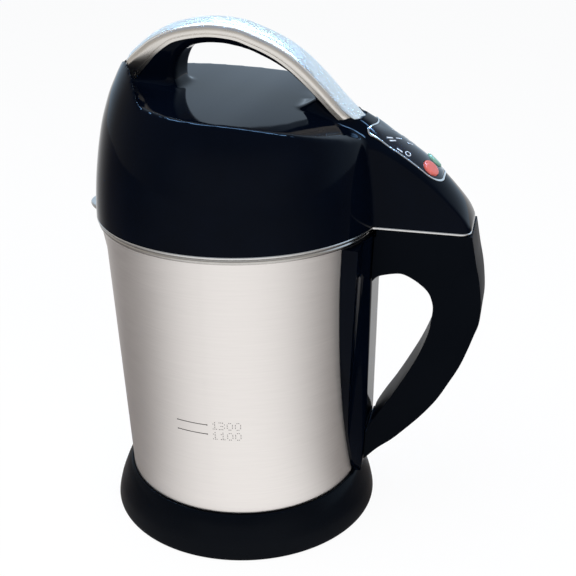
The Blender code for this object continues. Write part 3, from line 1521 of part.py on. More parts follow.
def make_blade(material, parent):
    """Four bent wings on a hub: alternate wings turn up and down."""
    rows = 6
    hub = shaft_radius + 2 * fit_gap + blade_thickness
    shape = bmesh.new()
    corner = 2 * math.pi / blade_wings
    loop = []
    for wing in range(blade_wings):
        angle = wing * corner
        rise = blade_bend if wing % 2 else -blade_bend
        along = Vector((math.cos(angle), math.sin(angle), 0))
        across = Vector((-math.sin(angle), math.cos(angle), 0))
        for side in (-1, 1):
            order = range(rows + 1) if side < 0 else range(rows, -1, -1)
            for row in order:
                share = row / rows
                reach = hub + (blade_reach - hub) * share
                width = blade_root_half_width + (blade_tip_half_width - blade_root_half_width) * share
                bend = rise * max(share - blade_bend_start_share, 0) ** blade_bend_power
                loop.append((along * reach + across * (side * width), bend))
    lower = [shape.verts.new((p.x, p.y, blade_height + bend)) for p, bend in loop]
    upper = [shape.verts.new((p.x, p.y, blade_height + blade_thickness + bend)) for p, bend in loop]
    per_wing = 2 * (rows + 1)
    for wing in range(blade_wings):
        first = wing * per_wing
        for row in range(rows):
            a, b = first + row, first + row + 1
            c, d = first + per_wing - 2 - row, first + per_wing - 1 - row
            shape.faces.new([lower[a], lower[b], lower[c], lower[d]])
            shape.faces.new([upper[a], upper[b], upper[c], upper[d]])
    hub_loop = [wing * per_wing + offset for wing in range(blade_wings) for offset in (0, per_wing - 1)]
    shape.faces.new([lower[index] for index in hub_loop])
    shape.faces.new([upper[index] for index in hub_loop])
    count = len(loop)
    for index in range(count):
        after = (index + 1) % count
        shape.faces.new([lower[index], lower[after], upper[after], upper[index]])
    blade = make_object("blade", shape, material, parent)
    bore = disc("blade bore", shaft_radius + fit_gap, blade_height - cut_overrun,
                blade_height + cut_overrun, None, parent)
    combine(blade, bore, "DIFFERENCE")


def make_fan(material, parent, bottom):
    disc_top = bottom + fan_disc
    top = bottom + fan_height
    fan = disc("cooling_fan", fan_radius, bottom, disc_top, material, parent, steps=round_steps // 2)
    hub = disc("fan hub", fan_hub_radius, bottom + fan_disc / 2, top, None, parent)
    combine(fan, hub, "UNION")
    for number in range(fan_vanes):
        angle = 2 * math.pi * number / fan_vanes
        vane_low = (fan_hub_radius - weld_overlap, -fan_vane_thickness / 2, bottom + fan_disc / 2)
        vane_high = (fan_radius - weld_overlap, fan_vane_thickness / 2, top - fan_disc)
        vane = block(f"fan vane {number + 1}", vane_low, vane_high, None, parent)
        vane.rotation_euler = (0, 0, angle)
        combine(fan, vane, "UNION")
    bore = disc("fan bore", shaft_radius + fit_gap, bottom - cut_overrun, top + cut_overrun, None, parent)
    combine(fan, bore, "DIFFERENCE")
    return fan


def make_guard(material, parent):
    """Slotted guard round the blade, carried on the lower end of the sleeve."""
    outer_top = guard_radius + guard_wall
    top = sleeve_bottom + guard_overlap
    profile = [
        (guard_radius, top), (guard_radius, sleeve_bottom),
        (guard_radius + guard_flare / 2, guard_bottom + guard_flare),
        (guard_radius + guard_flare, guard_bottom), (outer_top + guard_flare, guard_bottom),
        (outer_top + guard_flare / 2, guard_bottom + guard_flare + guard_wall), (outer_top, sleeve_bottom),
        (outer_top, top),
    ]
    guard = turned("blade_guard", profile, material, parent, round_steps)
    low = guard_bottom + guard_window_rise
    high = low + guard_window_height
    half = guard_window_width / 2
    for number in range(guard_windows // 2):
        angle = 2 * math.pi * number / guard_windows
        window = block(f"guard window {number + 1}", (-guard_radius * 2, -half, low),
                       (guard_radius * 2, half, high), None, parent)
        window.rotation_euler = (0, 0, angle)
        combine(guard, window, "DIFFERENCE")
    return guard


def make_power_board(materials, parent):
    low = trim_top + fit_gap + housing_flange + fit_gap
    high = low + board_thickness
    block("power_board", (-power_board_far, -power_board_half_width, low),
          (-power_board_near, power_board_half_width, high), materials["board"], parent)
    middle = (power_board_far + power_board_near) / 2
    half_length = transformer_length / 2
    half_width = transformer_width / 2
    foot = high + fit_gap
    block("transformer", (-middle - half_length, -half_width, foot),
          (-middle + half_length, half_width, foot + transformer_height), materials["steel"], parent)


def make_materials():
    looks = {
        "stainless": ((0.72, 0.70, 0.68), 0.28, 1.0),
        "black": ((0.012, 0.013, 0.018), 0.12, 0.0),
        "silver": ((0.80, 0.80, 0.80), 0.15, 1.0),
        "panel": ((0.008, 0.009, 0.016), 0.10, 0.0),
        "red": ((0.75, 0.10, 0.07), 0.35, 0.0),
        "green": ((0.45, 0.70, 0.50), 0.35, 0.0),
        "bakelite": ((0.03, 0.03, 0.03), 0.5, 0.0),
        "brass": ((0.75, 0.60, 0.30), 0.3, 1.0),
        "rubber": ((0.05, 0.05, 0.05), 0.8, 0.0),
        "silicone": ((0.75, 0.75, 0.72), 0.6, 0.0),
        "steel": ((0.45, 0.45, 0.47), 0.4, 1.0),
        "aluminium": ((0.70, 0.71, 0.73), 0.4, 1.0),
        "copper": ((0.62, 0.30, 0.16), 0.4, 1.0),
        "board": ((0.04, 0.20, 0.08), 0.5, 0.0),
        "fan": ((0.75, 0.75, 0.72), 0.5, 0.0),
        "wire": ((0.60, 0.60, 0.58), 0.6, 0.0),
    }
    return {name: make_material(name, *look) for name, look in looks.items()}


def build_mug_body(materials, machine):
    make_mug(materials["stainless"], machine)
    make_base_ring(materials["black"], machine)
    make_base_plate(materials["black"], machine)
    make_feet(materials["rubber"], machine)
    make_base_screws(materials["steel"], machine)
    make_heater(materials, machine)
    make_inlet(materials, machine)
    make_strap(materials["black"], machine)
    make_grip(materials["black"], machine)
    make_socket(materials["bakelite"], machine)
    make_handle_screws(materials["steel"], machine)
    make_wiring(materials["wire"], machine)


def build_head(materials, head):
    make_head_shell(materials["black"], head)
    make_trim(materials["silver"], head)
    make_strip_sweep("arch_strip", 0, fit_gap, materials["silver"], head)
    make_panel(materials, head)
    make_control_board(materials["board"], head)
    make_switch("start_switch", -button_offset, materials["bakelite"], head)
    make_switch("function_switch", button_offset, materials["bakelite"], head)
    make_coupler(materials, head)
    make_housing(materials["black"], head)
    make_seal(materials["silicone"], head)
    make_probes(materials["stainless"], head)
    make_head_screws(materials["stainless"], head)
    make_sleeve(materials["stainless"], head)
    make_bearings(materials, head)
    make_motor(materials, head)
    make_guard(materials["stainless"], head)
    make_power_board(materials, head)
    make_button("start_button", -button_offset, materials["red"], head)
    make_button("function_button", button_offset, materials["green"], head)


def main():
    remove_old_objects()
    materials = make_materials()
    machine = make_empty("machine", (mug_axis_x, 0, 0))
    head = make_empty("head_slide_axis", (0, 0, 0), machine)
    rotor = make_empty("rotor_axis", (0, 0, 0), head)
    build_mug_body(materials, machine)
    build_head(materials, head)
    make_rotor(materials, rotor)


main()
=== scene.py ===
"""Looks of the soy milk maker: a gloss black head, handle and base on a satin stainless mug.

Pieces are drawn in metres about the mug's axis, with the handle towards +X and the front
towards -Y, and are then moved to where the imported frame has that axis.
"""

import math

import bmesh
import bpy
from mathutils import Matrix, Vector


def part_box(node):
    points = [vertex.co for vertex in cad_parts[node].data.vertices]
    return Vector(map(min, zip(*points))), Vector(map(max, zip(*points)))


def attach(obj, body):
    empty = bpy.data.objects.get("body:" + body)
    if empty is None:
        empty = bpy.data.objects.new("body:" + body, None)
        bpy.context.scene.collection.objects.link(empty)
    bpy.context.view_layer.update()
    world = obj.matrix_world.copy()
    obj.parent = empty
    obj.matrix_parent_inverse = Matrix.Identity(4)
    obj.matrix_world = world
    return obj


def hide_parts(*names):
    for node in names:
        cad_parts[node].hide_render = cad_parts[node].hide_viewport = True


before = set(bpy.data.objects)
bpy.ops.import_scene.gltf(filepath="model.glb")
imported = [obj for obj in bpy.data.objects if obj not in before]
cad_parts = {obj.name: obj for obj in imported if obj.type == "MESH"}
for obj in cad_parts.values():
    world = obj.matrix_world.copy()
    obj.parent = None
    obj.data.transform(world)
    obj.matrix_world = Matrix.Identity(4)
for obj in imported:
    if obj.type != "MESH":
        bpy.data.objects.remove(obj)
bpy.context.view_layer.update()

MM = 0.001
scene = bpy.context.scene


# Camera at the photograph's angle, solved from the rim, the base and the handle

camera_place = Vector((141.1, -553.3, 397.4)) * MM
camera_forward = Vector((-0.2212, 0.8893, -0.4002))
camera_up = Vector((-0.0945, 0.3889, 0.9164))
camera_lens = 62.06
camera_sensor = 36


def make_camera():
    back = -camera_forward.normalized()
    right = camera_up.cross(back).normalized()
    turn = Matrix((right, back.cross(right), back)).transposed()
    lens = bpy.data.cameras.new("photo_camera")
    lens.lens = camera_lens
    lens.sensor_width = camera_sensor
    camera = bpy.data.objects.new("photo_camera", lens)
    camera.matrix_world = Matrix.Translation(camera_place) @ turn.to_4x4()
    scene.collection.objects.link(camera)
    scene.camera = camera


make_camera()

# Sizes. Arch, strip, recess and the tail's crown follow the photograph closer than the CAD does

base_low, base_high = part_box("base_ring")
axis_x = (base_low.x + base_high.x) / 2

trim_plane = 200 * MM
mug_rim_radius = 83.3 * MM
mug_foot_radius = 75.4 * MM
mug_wall = 1 * MM
mug_skirt = 25.8 * MM
mug_floor = 28.8 * MM
base_top = 27.4 * MM
base_radius = 86.6 * MM
base_cavity_top = 76 * MM
base_cavity_foot = 81 * MM
bead_bottom = 195.6 * MM
bead_top = 198.8 * MM
bead_proud = 3 * MM
spout_reach = 98 * MM
spout_height = 58 * MM
spout_half_angle = math.radians(17.5)
spout_fade_power = 0.8
head_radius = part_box("head_trim")[1].y
head_height = 113.4 * MM
head_wall = 2.5 * MM
head_bottom = 201.2 * MM
tail_reach = 143 * MM
tail_end = 140.7 * MM
tail_half_width = 19.7 * MM
tail_corner = 6 * MM
tail_root = 30 * MM
tail_rise_start = 32 * MM
tail_rise_end = 62 * MM
tail_narrow_end = 66 * MM
tail_full_start = 88 * MM
tail_roof = 7 * MM
tail_hollow_start = 67.5 * MM
arch_half_width = 14 * MM
arch_end = 71 * MM
strip_end = 76 * MM
tail_flat_power = 5
tail_round_start = 94 * MM
floor_crown = 0.8 * MM
far_shoulder_drop = 6 * MM
far_shoulder_x = (30 * MM, 62 * MM)
far_shoulder_y = (18 * MM, 45 * MM)
recess_foot = 66 * MM
recess_corner = 36.3 * MM
recess_far_corner = 48 * MM
recess_corner_depth = 64.8 * MM
handle_top = 198.8 * MM
handle_reach = 150 * MM
handle_half_width = 19.2 * MM
handle_foot_half_width = 15.5 * MM
gap = 0.3 * MM
merge_distance = 0.002 * MM
overrun = 6 * MM

dome_shares = (
    (1.0, 0.0), (0.997, 0.08), (0.985, 0.19), (0.967, 0.296), (0.944, 0.40), (0.914, 0.504),
    (0.872, 0.605), (0.847, 0.655), (0.816, 0.705), (0.783, 0.755), (0.738, 0.809), (0.655, 0.864),
    (0.558, 0.916), (0.393, 0.970), (0.18, 0.996), (0.0, 1.0),
)
arch_top_shares = (
    (-0.70, 0.55), (-0.487, 0.755), (-0.450, 0.809), (-0.399, 0.864), (-0.340, 0.916),
    (-0.240, 0.970), (-0.105, 0.998), (0.020, 0.987), (0.102, 0.954), (0.170, 0.919), (0.235, 0.874),
    (0.298, 0.815), (0.355, 0.748), (0.405, 0.683), (0.450, 0.622), (0.490, 0.575), (0.535, 0.533),
    (0.575, 0.505),
)
tail_top_shares = (
    (0.20, 0.690), (0.378, 0.690), (0.438, 0.617), (0.490, 0.568), (0.530, 0.540), (0.587, 0.497),
    (0.657, 0.448), (0.713, 0.403), (0.769, 0.354), (0.811, 0.308), (0.853, 0.258), (0.888, 0.211),
    (0.920, 0.163), (0.948, 0.115), (0.972, 0.062), (0.990, 0.012), (1.0, -0.015),
)
tail_edge_shares = (
    (0.20, 0.586), (0.30, 0.560), (0.378, 0.534), (0.438, 0.512), (0.490, 0.470), (0.523, 0.438),
    (0.593, 0.414), (0.665, 0.373), (0.755, 0.299), (0.838, 0.220), (0.919, 0.122),
    (0.957, 0.066), (0.985, 0.005), (1.0, -0.02),
)
floor_shares = (
    (-0.70, 0.70), (-0.42, 0.670), (-0.28, 0.650), (-0.14, 0.629), (0.0, 0.614), (0.14, 0.599),
    (0.28, 0.567), (0.385, 0.531), (0.462, 0.500), (0.531, 0.468), (0.75, 0.37),
)
hole_shares = (
    (-0.238, 0.62), (-0.240, 0.73), (-0.230, 0.785), (-0.213, 0.824), (-0.179, 0.859),
    (-0.115, 0.878), (-0.020, 0.877), (0.088, 0.845), (0.219, 0.764), (0.300, 0.680),
    (0.370, 0.590), (0.410, 0.525), (0.440, 0.470), (0.460, 0.430),
)
grip_outer_shares = (
    (0.943, 1.0), (0.964, 0.924), (0.980, 0.873), (0.991, 0.821), (0.9965, 0.770), (0.992, 0.728),
    (0.978, 0.692), (0.956, 0.637), (0.929, 0.579), (0.890, 0.518), (0.847, 0.456), (0.786, 0.391),
    (0.711, 0.325), (0.666, 0.289), (0.612, 0.253), (0.575, 0.222), (0.557, 0.206),
)
grip_hole_shares = (
    (0.5695, 0.838), (0.587, 0.852), (0.613, 0.860), (0.661, 0.868), (0.692, 0.867), (0.732, 0.853),
    (0.769, 0.833), (0.791, 0.815), (0.804, 0.793), (0.811, 0.767), (0.808, 0.734), (0.799, 0.684),
    (0.768, 0.613), (0.724, 0.540), (0.660, 0.448), (0.610, 0.385), (0.575, 0.335), (0.5655, 0.312),
)
strap_angle_shares = (
    (0.0, 0.26), (0.09, 0.45), (0.21, 0.62), (0.34, 0.76), (0.52, 0.885), (0.67, 0.95),
    (0.80, 0.985), (0.90, 1.0), (1.0, 1.0),
)
strap_face_shares = ((0.0, 0.0), (0.07, 0.45), (0.19, 0.72), (0.5, 0.85), (1.0, 1.0))
strap_half_angle = math.radians(32.2)
strap_thickness = 2.2 * MM
strap_face_foot = 80.6 * MM
strap_face_top = 84.8 * MM
strap_rib_half_width = 14 * MM
strap_slope_half_width = 28 * MM
strap_rim_clearance = 1.2 * MM
base_outer_shares = (
    (0.985, 0.01), (1.0, 0.04), (1.0, 0.10), (0.992, 0.22), (0.977, 0.40), (0.954, 0.60),
    (0.928, 0.80), (0.906, 0.93), (0.890, 0.99), (0.882, 1.0),
)


# Outline tools

def scaled(shares, across, up, level=0.0):
    return [(a * across, level + b * up) for a, b in shares]


def height_at(points, x):
    if x <= points[0][0]:
        return points[0][1]
    for (x0, z0), (x1, z1) in zip(points, points[1:]):
        if x <= x1:
            return z0 + (z1 - z0) * (x - x0) / (x1 - x0)
    return points[-1][1]


def smooth_curve(points, steps=6):
    """Catmull-Rom curve through the points of an open outline."""
    first, last = Vector(points[0]), Vector(points[-1])
    known = [first] + [Vector(point) for point in points] + [last]
    curve = []
    for a, b, c, d in zip(known, known[1:], known[2:], known[3:]):
        for step in range(steps):
            t = step / steps
            bend = (a * -1 + b * 3 - c * 3 + d) * t ** 3 + (a * 2 - b * 5 + c * 4 - d) * t ** 2
            curve.append(tuple(b + (bend + (c - a) * t) / 2))
    curve.append(tuple(last))
    return curve


def eased(corners, steps=5, closed=True):
    """Outline of (a, b, ease) corners, each rounded off over its ease on both sides."""
    outline = []
    count = len(corners)
    for index, (a, b, ease) in enumerate(corners):
        here = Vector((a, b))
        at_end = not closed and index in (0, count - 1)
        if not ease or at_end:
            outline.append((a, b))
            continue
        before = Vector(corners[index - 1][:2]) - here
        after = Vector(corners[(index + 1) % count][:2]) - here
        start = here + before.normalized() * min(ease, before.length / 2)
        end = here + after.normalized() * min(ease, after.length / 2)
        for step in range(steps + 1):
            t = step / steps
            outline.append(tuple(start * (1 - t) ** 2 + here * 2 * t * (1 - t) + end * t ** 2))
    return outline


def arc(centre, radius, start, end, steps):
    turns = [start + (end - start) * step / steps for step in range(steps + 1)]
    return [(centre[0] + radius * math.cos(t), centre[1] + radius * math.sin(t)) for t in turns]


def half_turn(steps):
    """Angles from straight down to straight up."""
    return [math.radians(-90 + 180 * step / steps) for step in range(steps + 1)]


def eased_step(low, high, value):
    """0 at low, 1 at high, smooth between them."""
    share = min(max((value - low) / (high - low), 0), 1)
    return share * share * (3 - 2 * share)


def point_along(points, share):
    """Point at a share of a list of evenly counted points."""
    spot = share * (len(points) - 1)
    index = min(int(spot + 1e-6), len(points) - 2)
    return Vector(points[index]).lerp(Vector(points[index + 1]), min(max(spot - index, 0), 1))


def evenly(points, count, closed=False):
    """The outline's points again, the same distance apart."""
    points = [Vector(point) for point in points]
    if closed:
        points.append(points[0].copy())
    lengths = [0]
    for near, far in zip(points, points[1:]):
        lengths.append(lengths[-1] + (far - near).length)
    spaced, index = [], 0
    for step in range(count + 1):
        goal = lengths[-1] * step / count
        while index < len(points) - 2 and lengths[index + 1] < goal:
            index += 1
        span = lengths[index + 1] - lengths[index]
        spaced.append(points[index].lerp(points[index + 1], (goal - lengths[index]) / span if span else 0))
    return spaced


# Mesh tools

def new_piece(name, shape):
    mesh = bpy.data.meshes.new(name)
    shape.to_mesh(mesh)
    shape.free()
    piece = bpy.data.objects.new(name, mesh)
    scene.collection.objects.link(piece)
    return piece


def spun(name, profile, steps=144, swell=None):
    """Turned piece: a profile of (radius, height), closed unless it runs from axis to axis."""
    shape = bmesh.new()
    corners = [shape.verts.new((radius, 0, height)) for radius, height in profile]
    sides = [shape.edges.new(pair) for pair in zip(corners, corners[1:])]
    if profile[0][0] > 0 or profile[-1][0] > 0:
        sides.append(shape.edges.new((corners[-1], corners[0])))
    bmesh.ops.spin(shape, geom=corners + sides, axis=(0, 0, 1), cent=(0, 0, 0),
                   angle=2 * math.pi, steps=steps, use_merge=True)
    bmesh.ops.remove_doubles(shape, verts=shape.verts, dist=merge_distance)
    if swell:
        for vertex in shape.verts:
            swell(vertex)
    bmesh.ops.recalc_face_normals(shape, faces=shape.faces)
    return new_piece(name, shape)


def prism(name, outline, low, high, along="Z"):
    """Extruded outline: (x, y) along Z, or (x, z) along Y."""
    shape = bmesh.new()
    if along == "Z":
        corners = [shape.verts.new((a, b, low)) for a, b in outline]
        travel = Vector((0, 0, high - low))
    else:
        corners = [shape.verts.new((a, low, b)) for a, b in outline]
        travel = Vector((0, high - low, 0))
    face = shape.faces.new(corners)
    grown = bmesh.ops.extrude_face_region(shape, geom=[face])
    moved = [item for item in grown["geom"] if isinstance(item, bmesh.types.BMVert)]
    bmesh.ops.translate(shape, vec=travel, verts=moved)
    bmesh.ops.recalc_face_normals(shape, faces=shape.faces)
    return new_piece(name, shape)


def draped(columns, rows, place):
    """Sheet whose points, as shares across and along, are moved to their place."""
    shape = bmesh.new()
    bmesh.ops.create_grid(shape, x_segments=columns, y_segments=rows, size=0.5)
    for vertex in shape.verts:
        vertex.co = place(vertex.co.x + 0.5, vertex.co.y + 0.5)
    return shape


def skinned(name, columns, rows, place, loop=False):
    """Closed skin: the sheet's two sides meet, and its ends are capped unless they meet too."""
    shape = draped(columns, rows, place)
    bmesh.ops.remove_doubles(shape, verts=shape.verts, dist=merge_distance)
    if not loop:
        rims = [edge for edge in shape.edges if edge.is_boundary]
        bmesh.ops.holes_fill(shape, edges=rims, sides=0)
    bmesh.ops.recalc_face_normals(shape, faces=shape.faces)
    return new_piece(name, shape)


def baked(piece):
    """Applies the piece's modifiers to its mesh."""
    graph = bpy.context.evaluated_depsgraph_get()
    mesh = bpy.data.meshes.new_from_object(piece.evaluated_get(graph))
    piece.modifiers.clear()
    piece.data = mesh
    return piece


def thickened(piece, depth):
    """Gives a sheet its depth, inwards."""
    wall = piece.modifiers.new("depth", "SOLIDIFY")
    wall.thickness = depth
    return baked(piece)


def cut(piece, other, operation="DIFFERENCE"):
    """Cuts, joins or keeps the overlap with another piece, which is then gone."""
    step = piece.modifiers.new("cut", "BOOLEAN")
    step.operation = operation
    step.object = other
    step.solver = "MANIFOLD"
    baked(piece)
    bpy.data.objects.remove(other, do_unlink=True)
    return piece


def remeshed(piece, voxel, rounds):
    """Even mesh of the piece, with its edges softened by smoothing."""
    even = piece.modifiers.new("even mesh", "REMESH")
    even.mode = "VOXEL"
    even.voxel_size = voxel
    soften = piece.modifiers.new("soft edges", "SMOOTH")
    soften.iterations = rounds
    return baked(piece)


def soften_near(piece, middle, reach, rounds):
    """Smooths the mesh inside an ellipsoid, in smaller and smaller parts of it, so that the rim fades."""
    shape = bmesh.new()
    shape.from_mesh(piece.data)
    spots = [((vertex.co - middle), vertex) for vertex in shape.verts]
    spots = [(Vector((a.x / reach.x, a.y / reach.y, a.z / reach.z)).length, vertex) for a, vertex in spots]
    for step in range(rounds):
        inside = [vertex for share, vertex in spots if share < 1 - 0.6 * step / rounds]
        bmesh.ops.smooth_vert(shape, verts=inside, factor=0.5, use_axis_x=True, use_axis_y=True,
                              use_axis_z=True)
    shape.to_mesh(piece.data)
    shape.free()


def fit(piece, body, finish, slot, *nodes, crease=40):
    """Puts a piece on the mug's axis of the frame, gives it its finish and hides the CAD nodes it stands
    in for.
    """
    piece.data.transform(Matrix.Translation((axis_x, 0, 0)))
    for face in piece.data.polygons:
        face.use_smooth = True
    piece.data.set_sharp_from_angle(angle=math.radians(crease))
    if finish:
        piece.data.materials.clear()
        piece.data.materials.append(finish)
    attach(piece, body)
    if nodes:
        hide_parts(*nodes)
    return piece


# Material tools

def linear(code):
    """Linear colour of an sRGB hex value."""
    channels = [int(code[place:place + 2], 16) / 255 for place in (1, 3, 5)]
    curve = [c / 12.92 if c <= 0.04045 else ((c + 0.055) / 1.055) ** 2.4 for c in channels]
    return (*curve, 1)


def add_node(tree, kind, links=None, **settings):
    """Adds a node: links are its inputs, by name or number, and settings are its properties."""
    node = tree.nodes.new(kind)
    for name, value in settings.items():
        setattr(node, name, value)
    for key, value in (links or {}).items():
        socket = node.inputs[key]
        if isinstance(value, bpy.types.NodeSocket):
            tree.links.new(value, socket)
        else:
            socket.default_value = value
    return node


def start_finish(name, colour, roughness, metallic=0.0, **settings):
    """New material with its shader's own numbers set."""
    finish = bpy.data.materials.new(name)
    finish.use_nodes = True
    shader = finish.node_tree.nodes["Principled BSDF"]
    shader.inputs["Base Color"].default_value = linear(colour)
    shader.inputs["Roughness"].default_value = roughness
    shader.inputs["Metallic"].default_value = metallic
    for key, value in settings.items():
        shader.inputs[key.replace("_", " ")].default_value = value
    return finish, finish.node_tree, shader


def texture_at(tree, scale, detail=2.0, stretch=(1, 1, 1)):
    """Noise on Object coordinates, with its spots per metre."""
    place = add_node(tree, "ShaderNodeTexCoord")
    mapping = add_node(tree, "ShaderNodeMapping", {"Vector": place.outputs["Object"], "Scale": stretch})
    noise = add_node(tree, "ShaderNodeTexNoise", {
        "Vector": mapping.outputs["Vector"], "Scale": scale, "Detail": detail,
    })
    return noise.outputs["Fac"]


def vary(tree, shader, pattern, span, colours, roughness, relief, depth):
    """Lets a pattern drift colour and roughness over its span, and a relief dent the surface."""
    ramp = add_node(tree, "ShaderNodeValToRGB", {"Fac": pattern})
    for element, position, colour in zip(ramp.color_ramp.elements, span, colours):
        element.position = position
        element.color = linear(colour)
    haze = add_node(tree, "ShaderNodeMapRange", {
        "Value": pattern, "To Min": roughness[0], "To Max": roughness[1],
    })
    bump = add_node(tree, "ShaderNodeBump", {"Height": relief, "Distance": depth, "Strength": 1})
    tree.links.new(ramp.outputs["Color"], shader.inputs["Base Color"])
    tree.links.new(haze.outputs["Result"], shader.inputs["Roughness"])
    tree.links.new(bump.outputs["Normal"], shader.inputs["Normal"])


haze_size = 28 * MM


def moulded(name, colour, shade, roughness, wave_mm=6.0, wave_height=0.004 * MM, **settings):
    """Moulded plastic: slow waves from the mould, and a haze that varies a little."""
    finish, tree, shader = start_finish(name, colour, roughness, **settings)
    wave = texture_at(tree, 1 / (wave_mm * MM))
    haze = texture_at(tree, 1 / haze_size, detail=3)
    vary(tree, shader, haze, (0.3, 0.7), (colour, shade), (roughness * 0.8, roughness * 1.25), wave,
         wave_height)
    return finish


def metal(name, colour, shade, roughness, grain_mm, stretch=(1, 1, 1), grain=0.002 * MM, **settings):
    """Bare or plated metal with a grain along one direction."""
    finish, tree, shader = start_finish(name, colour, roughness, 1.0, **settings)
    lines = texture_at(tree, 1 / (grain_mm * MM), detail=3, stretch=stretch)
    vary(tree, shader, lines, (0.25, 0.75), (shade, colour), (roughness * 0.85, roughness * 1.2), lines,
         grain)
    return finish


def satin_stainless():
    """Drawn 18/8 stainless steel, satin brushed round the mug: highlights stretch up and down."""
    finish = metal("satin_brushed_stainless_steel", "#f1ece8", "#ece7e3", 0.34, 0.9,
                   stretch=(0.04, 0.04, 1.0), grain=0.0006 * MM, Anisotropic=0.8)
    tree = finish.node_tree
    around_axis = add_node(tree, "ShaderNodeTangent", direction_type="RADIAL", axis="Z")
    tree.links.new(around_axis.outputs["Tangent"], tree.nodes["Principled BSDF"].inputs["Tangent"])
    return finish


finishes = {
    # High-gloss ABS from a polished mould: near black with a cold cast, mirror-like
    "gloss": moulded("polished_mould_gloss_abs", "#02050d", "#030711", 0.06, Specular_IOR_Level=0.045),
    # The same ABS on the base, a little duller from handling
    "base": moulded("moulded_satin_gloss_abs", "#02050b", "#04070d", 0.2, Specular_IOR_Level=0.06),
    # The grip's ABS, softened by hands so that edge-on light spreads out on it
    "grip": moulded("hand_worn_gloss_abs", "#02050b", "#04070d", 0.42, Specular_IOR_Level=0.03),
    # ABS inside the head, with a fine spark-eroded grain
    "inner": moulded("spark_textured_abs", "#0c0d10", "#14151a", 0.45, wave_mm=0.8,
                     wave_height=0.02 * MM),
    "stainless": satin_stainless(),
    # Stainless steel polished by buffing: clear reflections with faint haze
    "polished": metal("buffed_stainless_steel", "#c9c6c2", "#bdbab6", 0.16, 3.0),
    # Satin chrome plate on ABS: soft silver reflections
    "chrome": metal("satin_chrome_plated_abs", "#efebe5", "#e7e3dd", 0.27, 9.0, grain=0.0002 * MM),
    # Aluminium anodised bright: an even silver line
    "trim": metal("bright_anodised_aluminium", "#dededd", "#d2d2d1", 0.22, 2.0),
    # Screen-printed polycarbonate film over the panel
    "panel": moulded("printed_polycarbonate_film", "#060912", "#090e1a", 0.12, wave_mm=14.0,
                     Specular_IOR_Level=0.4),
    # Screen print on the film: flat bluish white
    "ink": moulded("white_screen_print", "#c9d2dd", "#b7c1cd", 0.45, wave_mm=1.0),
    # Tinted polycarbonate: soft coral red with a faint gloss
    "red": moulded("moulded_red_polycarbonate", "#cf6a60", "#c25a50", 0.3, wave_mm=2.5),
    # Tinted polycarbonate: soft sage green with a faint gloss
    "green": moulded("moulded_green_polycarbonate", "#7fae9c", "#72a08e", 0.3, wave_mm=2.5),
    # Dot-peened marks in the steel: dull dark pits
    "peened": metal("dot_peened_steel", "#2c2927", "#201e1c", 0.5, 0.6),
    # Nitrile rubber: dull black with a fine grain
    "rubber": moulded("moulded_nitrile_rubber", "#141414", "#1d1d1c", 0.75, wave_mm=0.9,
                      wave_height=0.03 * MM),
    # Silicone rubber: pale and waxy
    "silicone": moulded("moulded_silicone_rubber", "#c4c2ba", "#b5b3ab", 0.5, wave_mm=2.0),
    # Zinc plate on steel: cool grey, a little cloudy
    "zinc": metal("zinc_plated_steel", "#a3a6a8", "#8d9194", 0.35, 1.5),
    # Cast aluminium: light grey with a rough skin
    "cast": metal("cast_aluminium", "#b2b3b5", "#9d9ea0", 0.45, 0.9, grain=0.02 * MM),
    # Phenolic resin: dark brown, half dull
    "phenolic": moulded("moulded_phenolic", "#17130f", "#211b15", 0.45, wave_mm=0.7),
    # Drawn brass: warm yellow with fine streaks
    "brass": metal("drawn_brass", "#c9a864", "#b7954f", 0.28, 0.8),
    # Enamelled copper wire: reddish lines of the winding
    "copper": metal("enamelled_copper_winding", "#a8623a", "#7c4023", 0.35, 0.5,
                    stretch=(0.1, 0.1, 4), grain=0.05 * MM),
    # Glass epoxy board: green, half glossy
    "board": moulded("glass_epoxy_circuit_board", "#123d22", "#1a5230", 0.4, wave_mm=2.0),
    # Natural nylon: milky off-white
    "fan": moulded("moulded_nylon", "#bdbab0", "#a9a69c", 0.5, wave_mm=3.0),
    # PVC insulation: plain grey, half dull
    "wire": moulded("pvc_wire_insulation", "#8f8f8b", "#7c7c78", 0.55, wave_mm=2.0),
}


# Mug

def mug_radius_at(height):
    share = (trim_plane - height) / (trim_plane - base_top)
    return mug_rim_radius + (mug_foot_radius - mug_rim_radius) * share


def swell_spout(vertex):
    """Draws the wall out into the pouring lip on the side away from the handle."""
    angle = abs(math.atan2(vertex.co.y, -vertex.co.x)) / spout_half_angle
    rise = (vertex.co.z - (bead_bottom - spout_height)) / spout_height
    if angle >= 1 or rise <= 0 or vertex.co.x > 0:
        return
    depth = spout_reach - mug_radius_at(bead_top) - bead_proud
    reach = depth * math.cos(angle * math.pi / 2) ** 2 * min(rise, 1) ** spout_fade_power
    flat = Vector((vertex.co.x, vertex.co.y, 0))
    vertex.co += flat.normalized() * reach


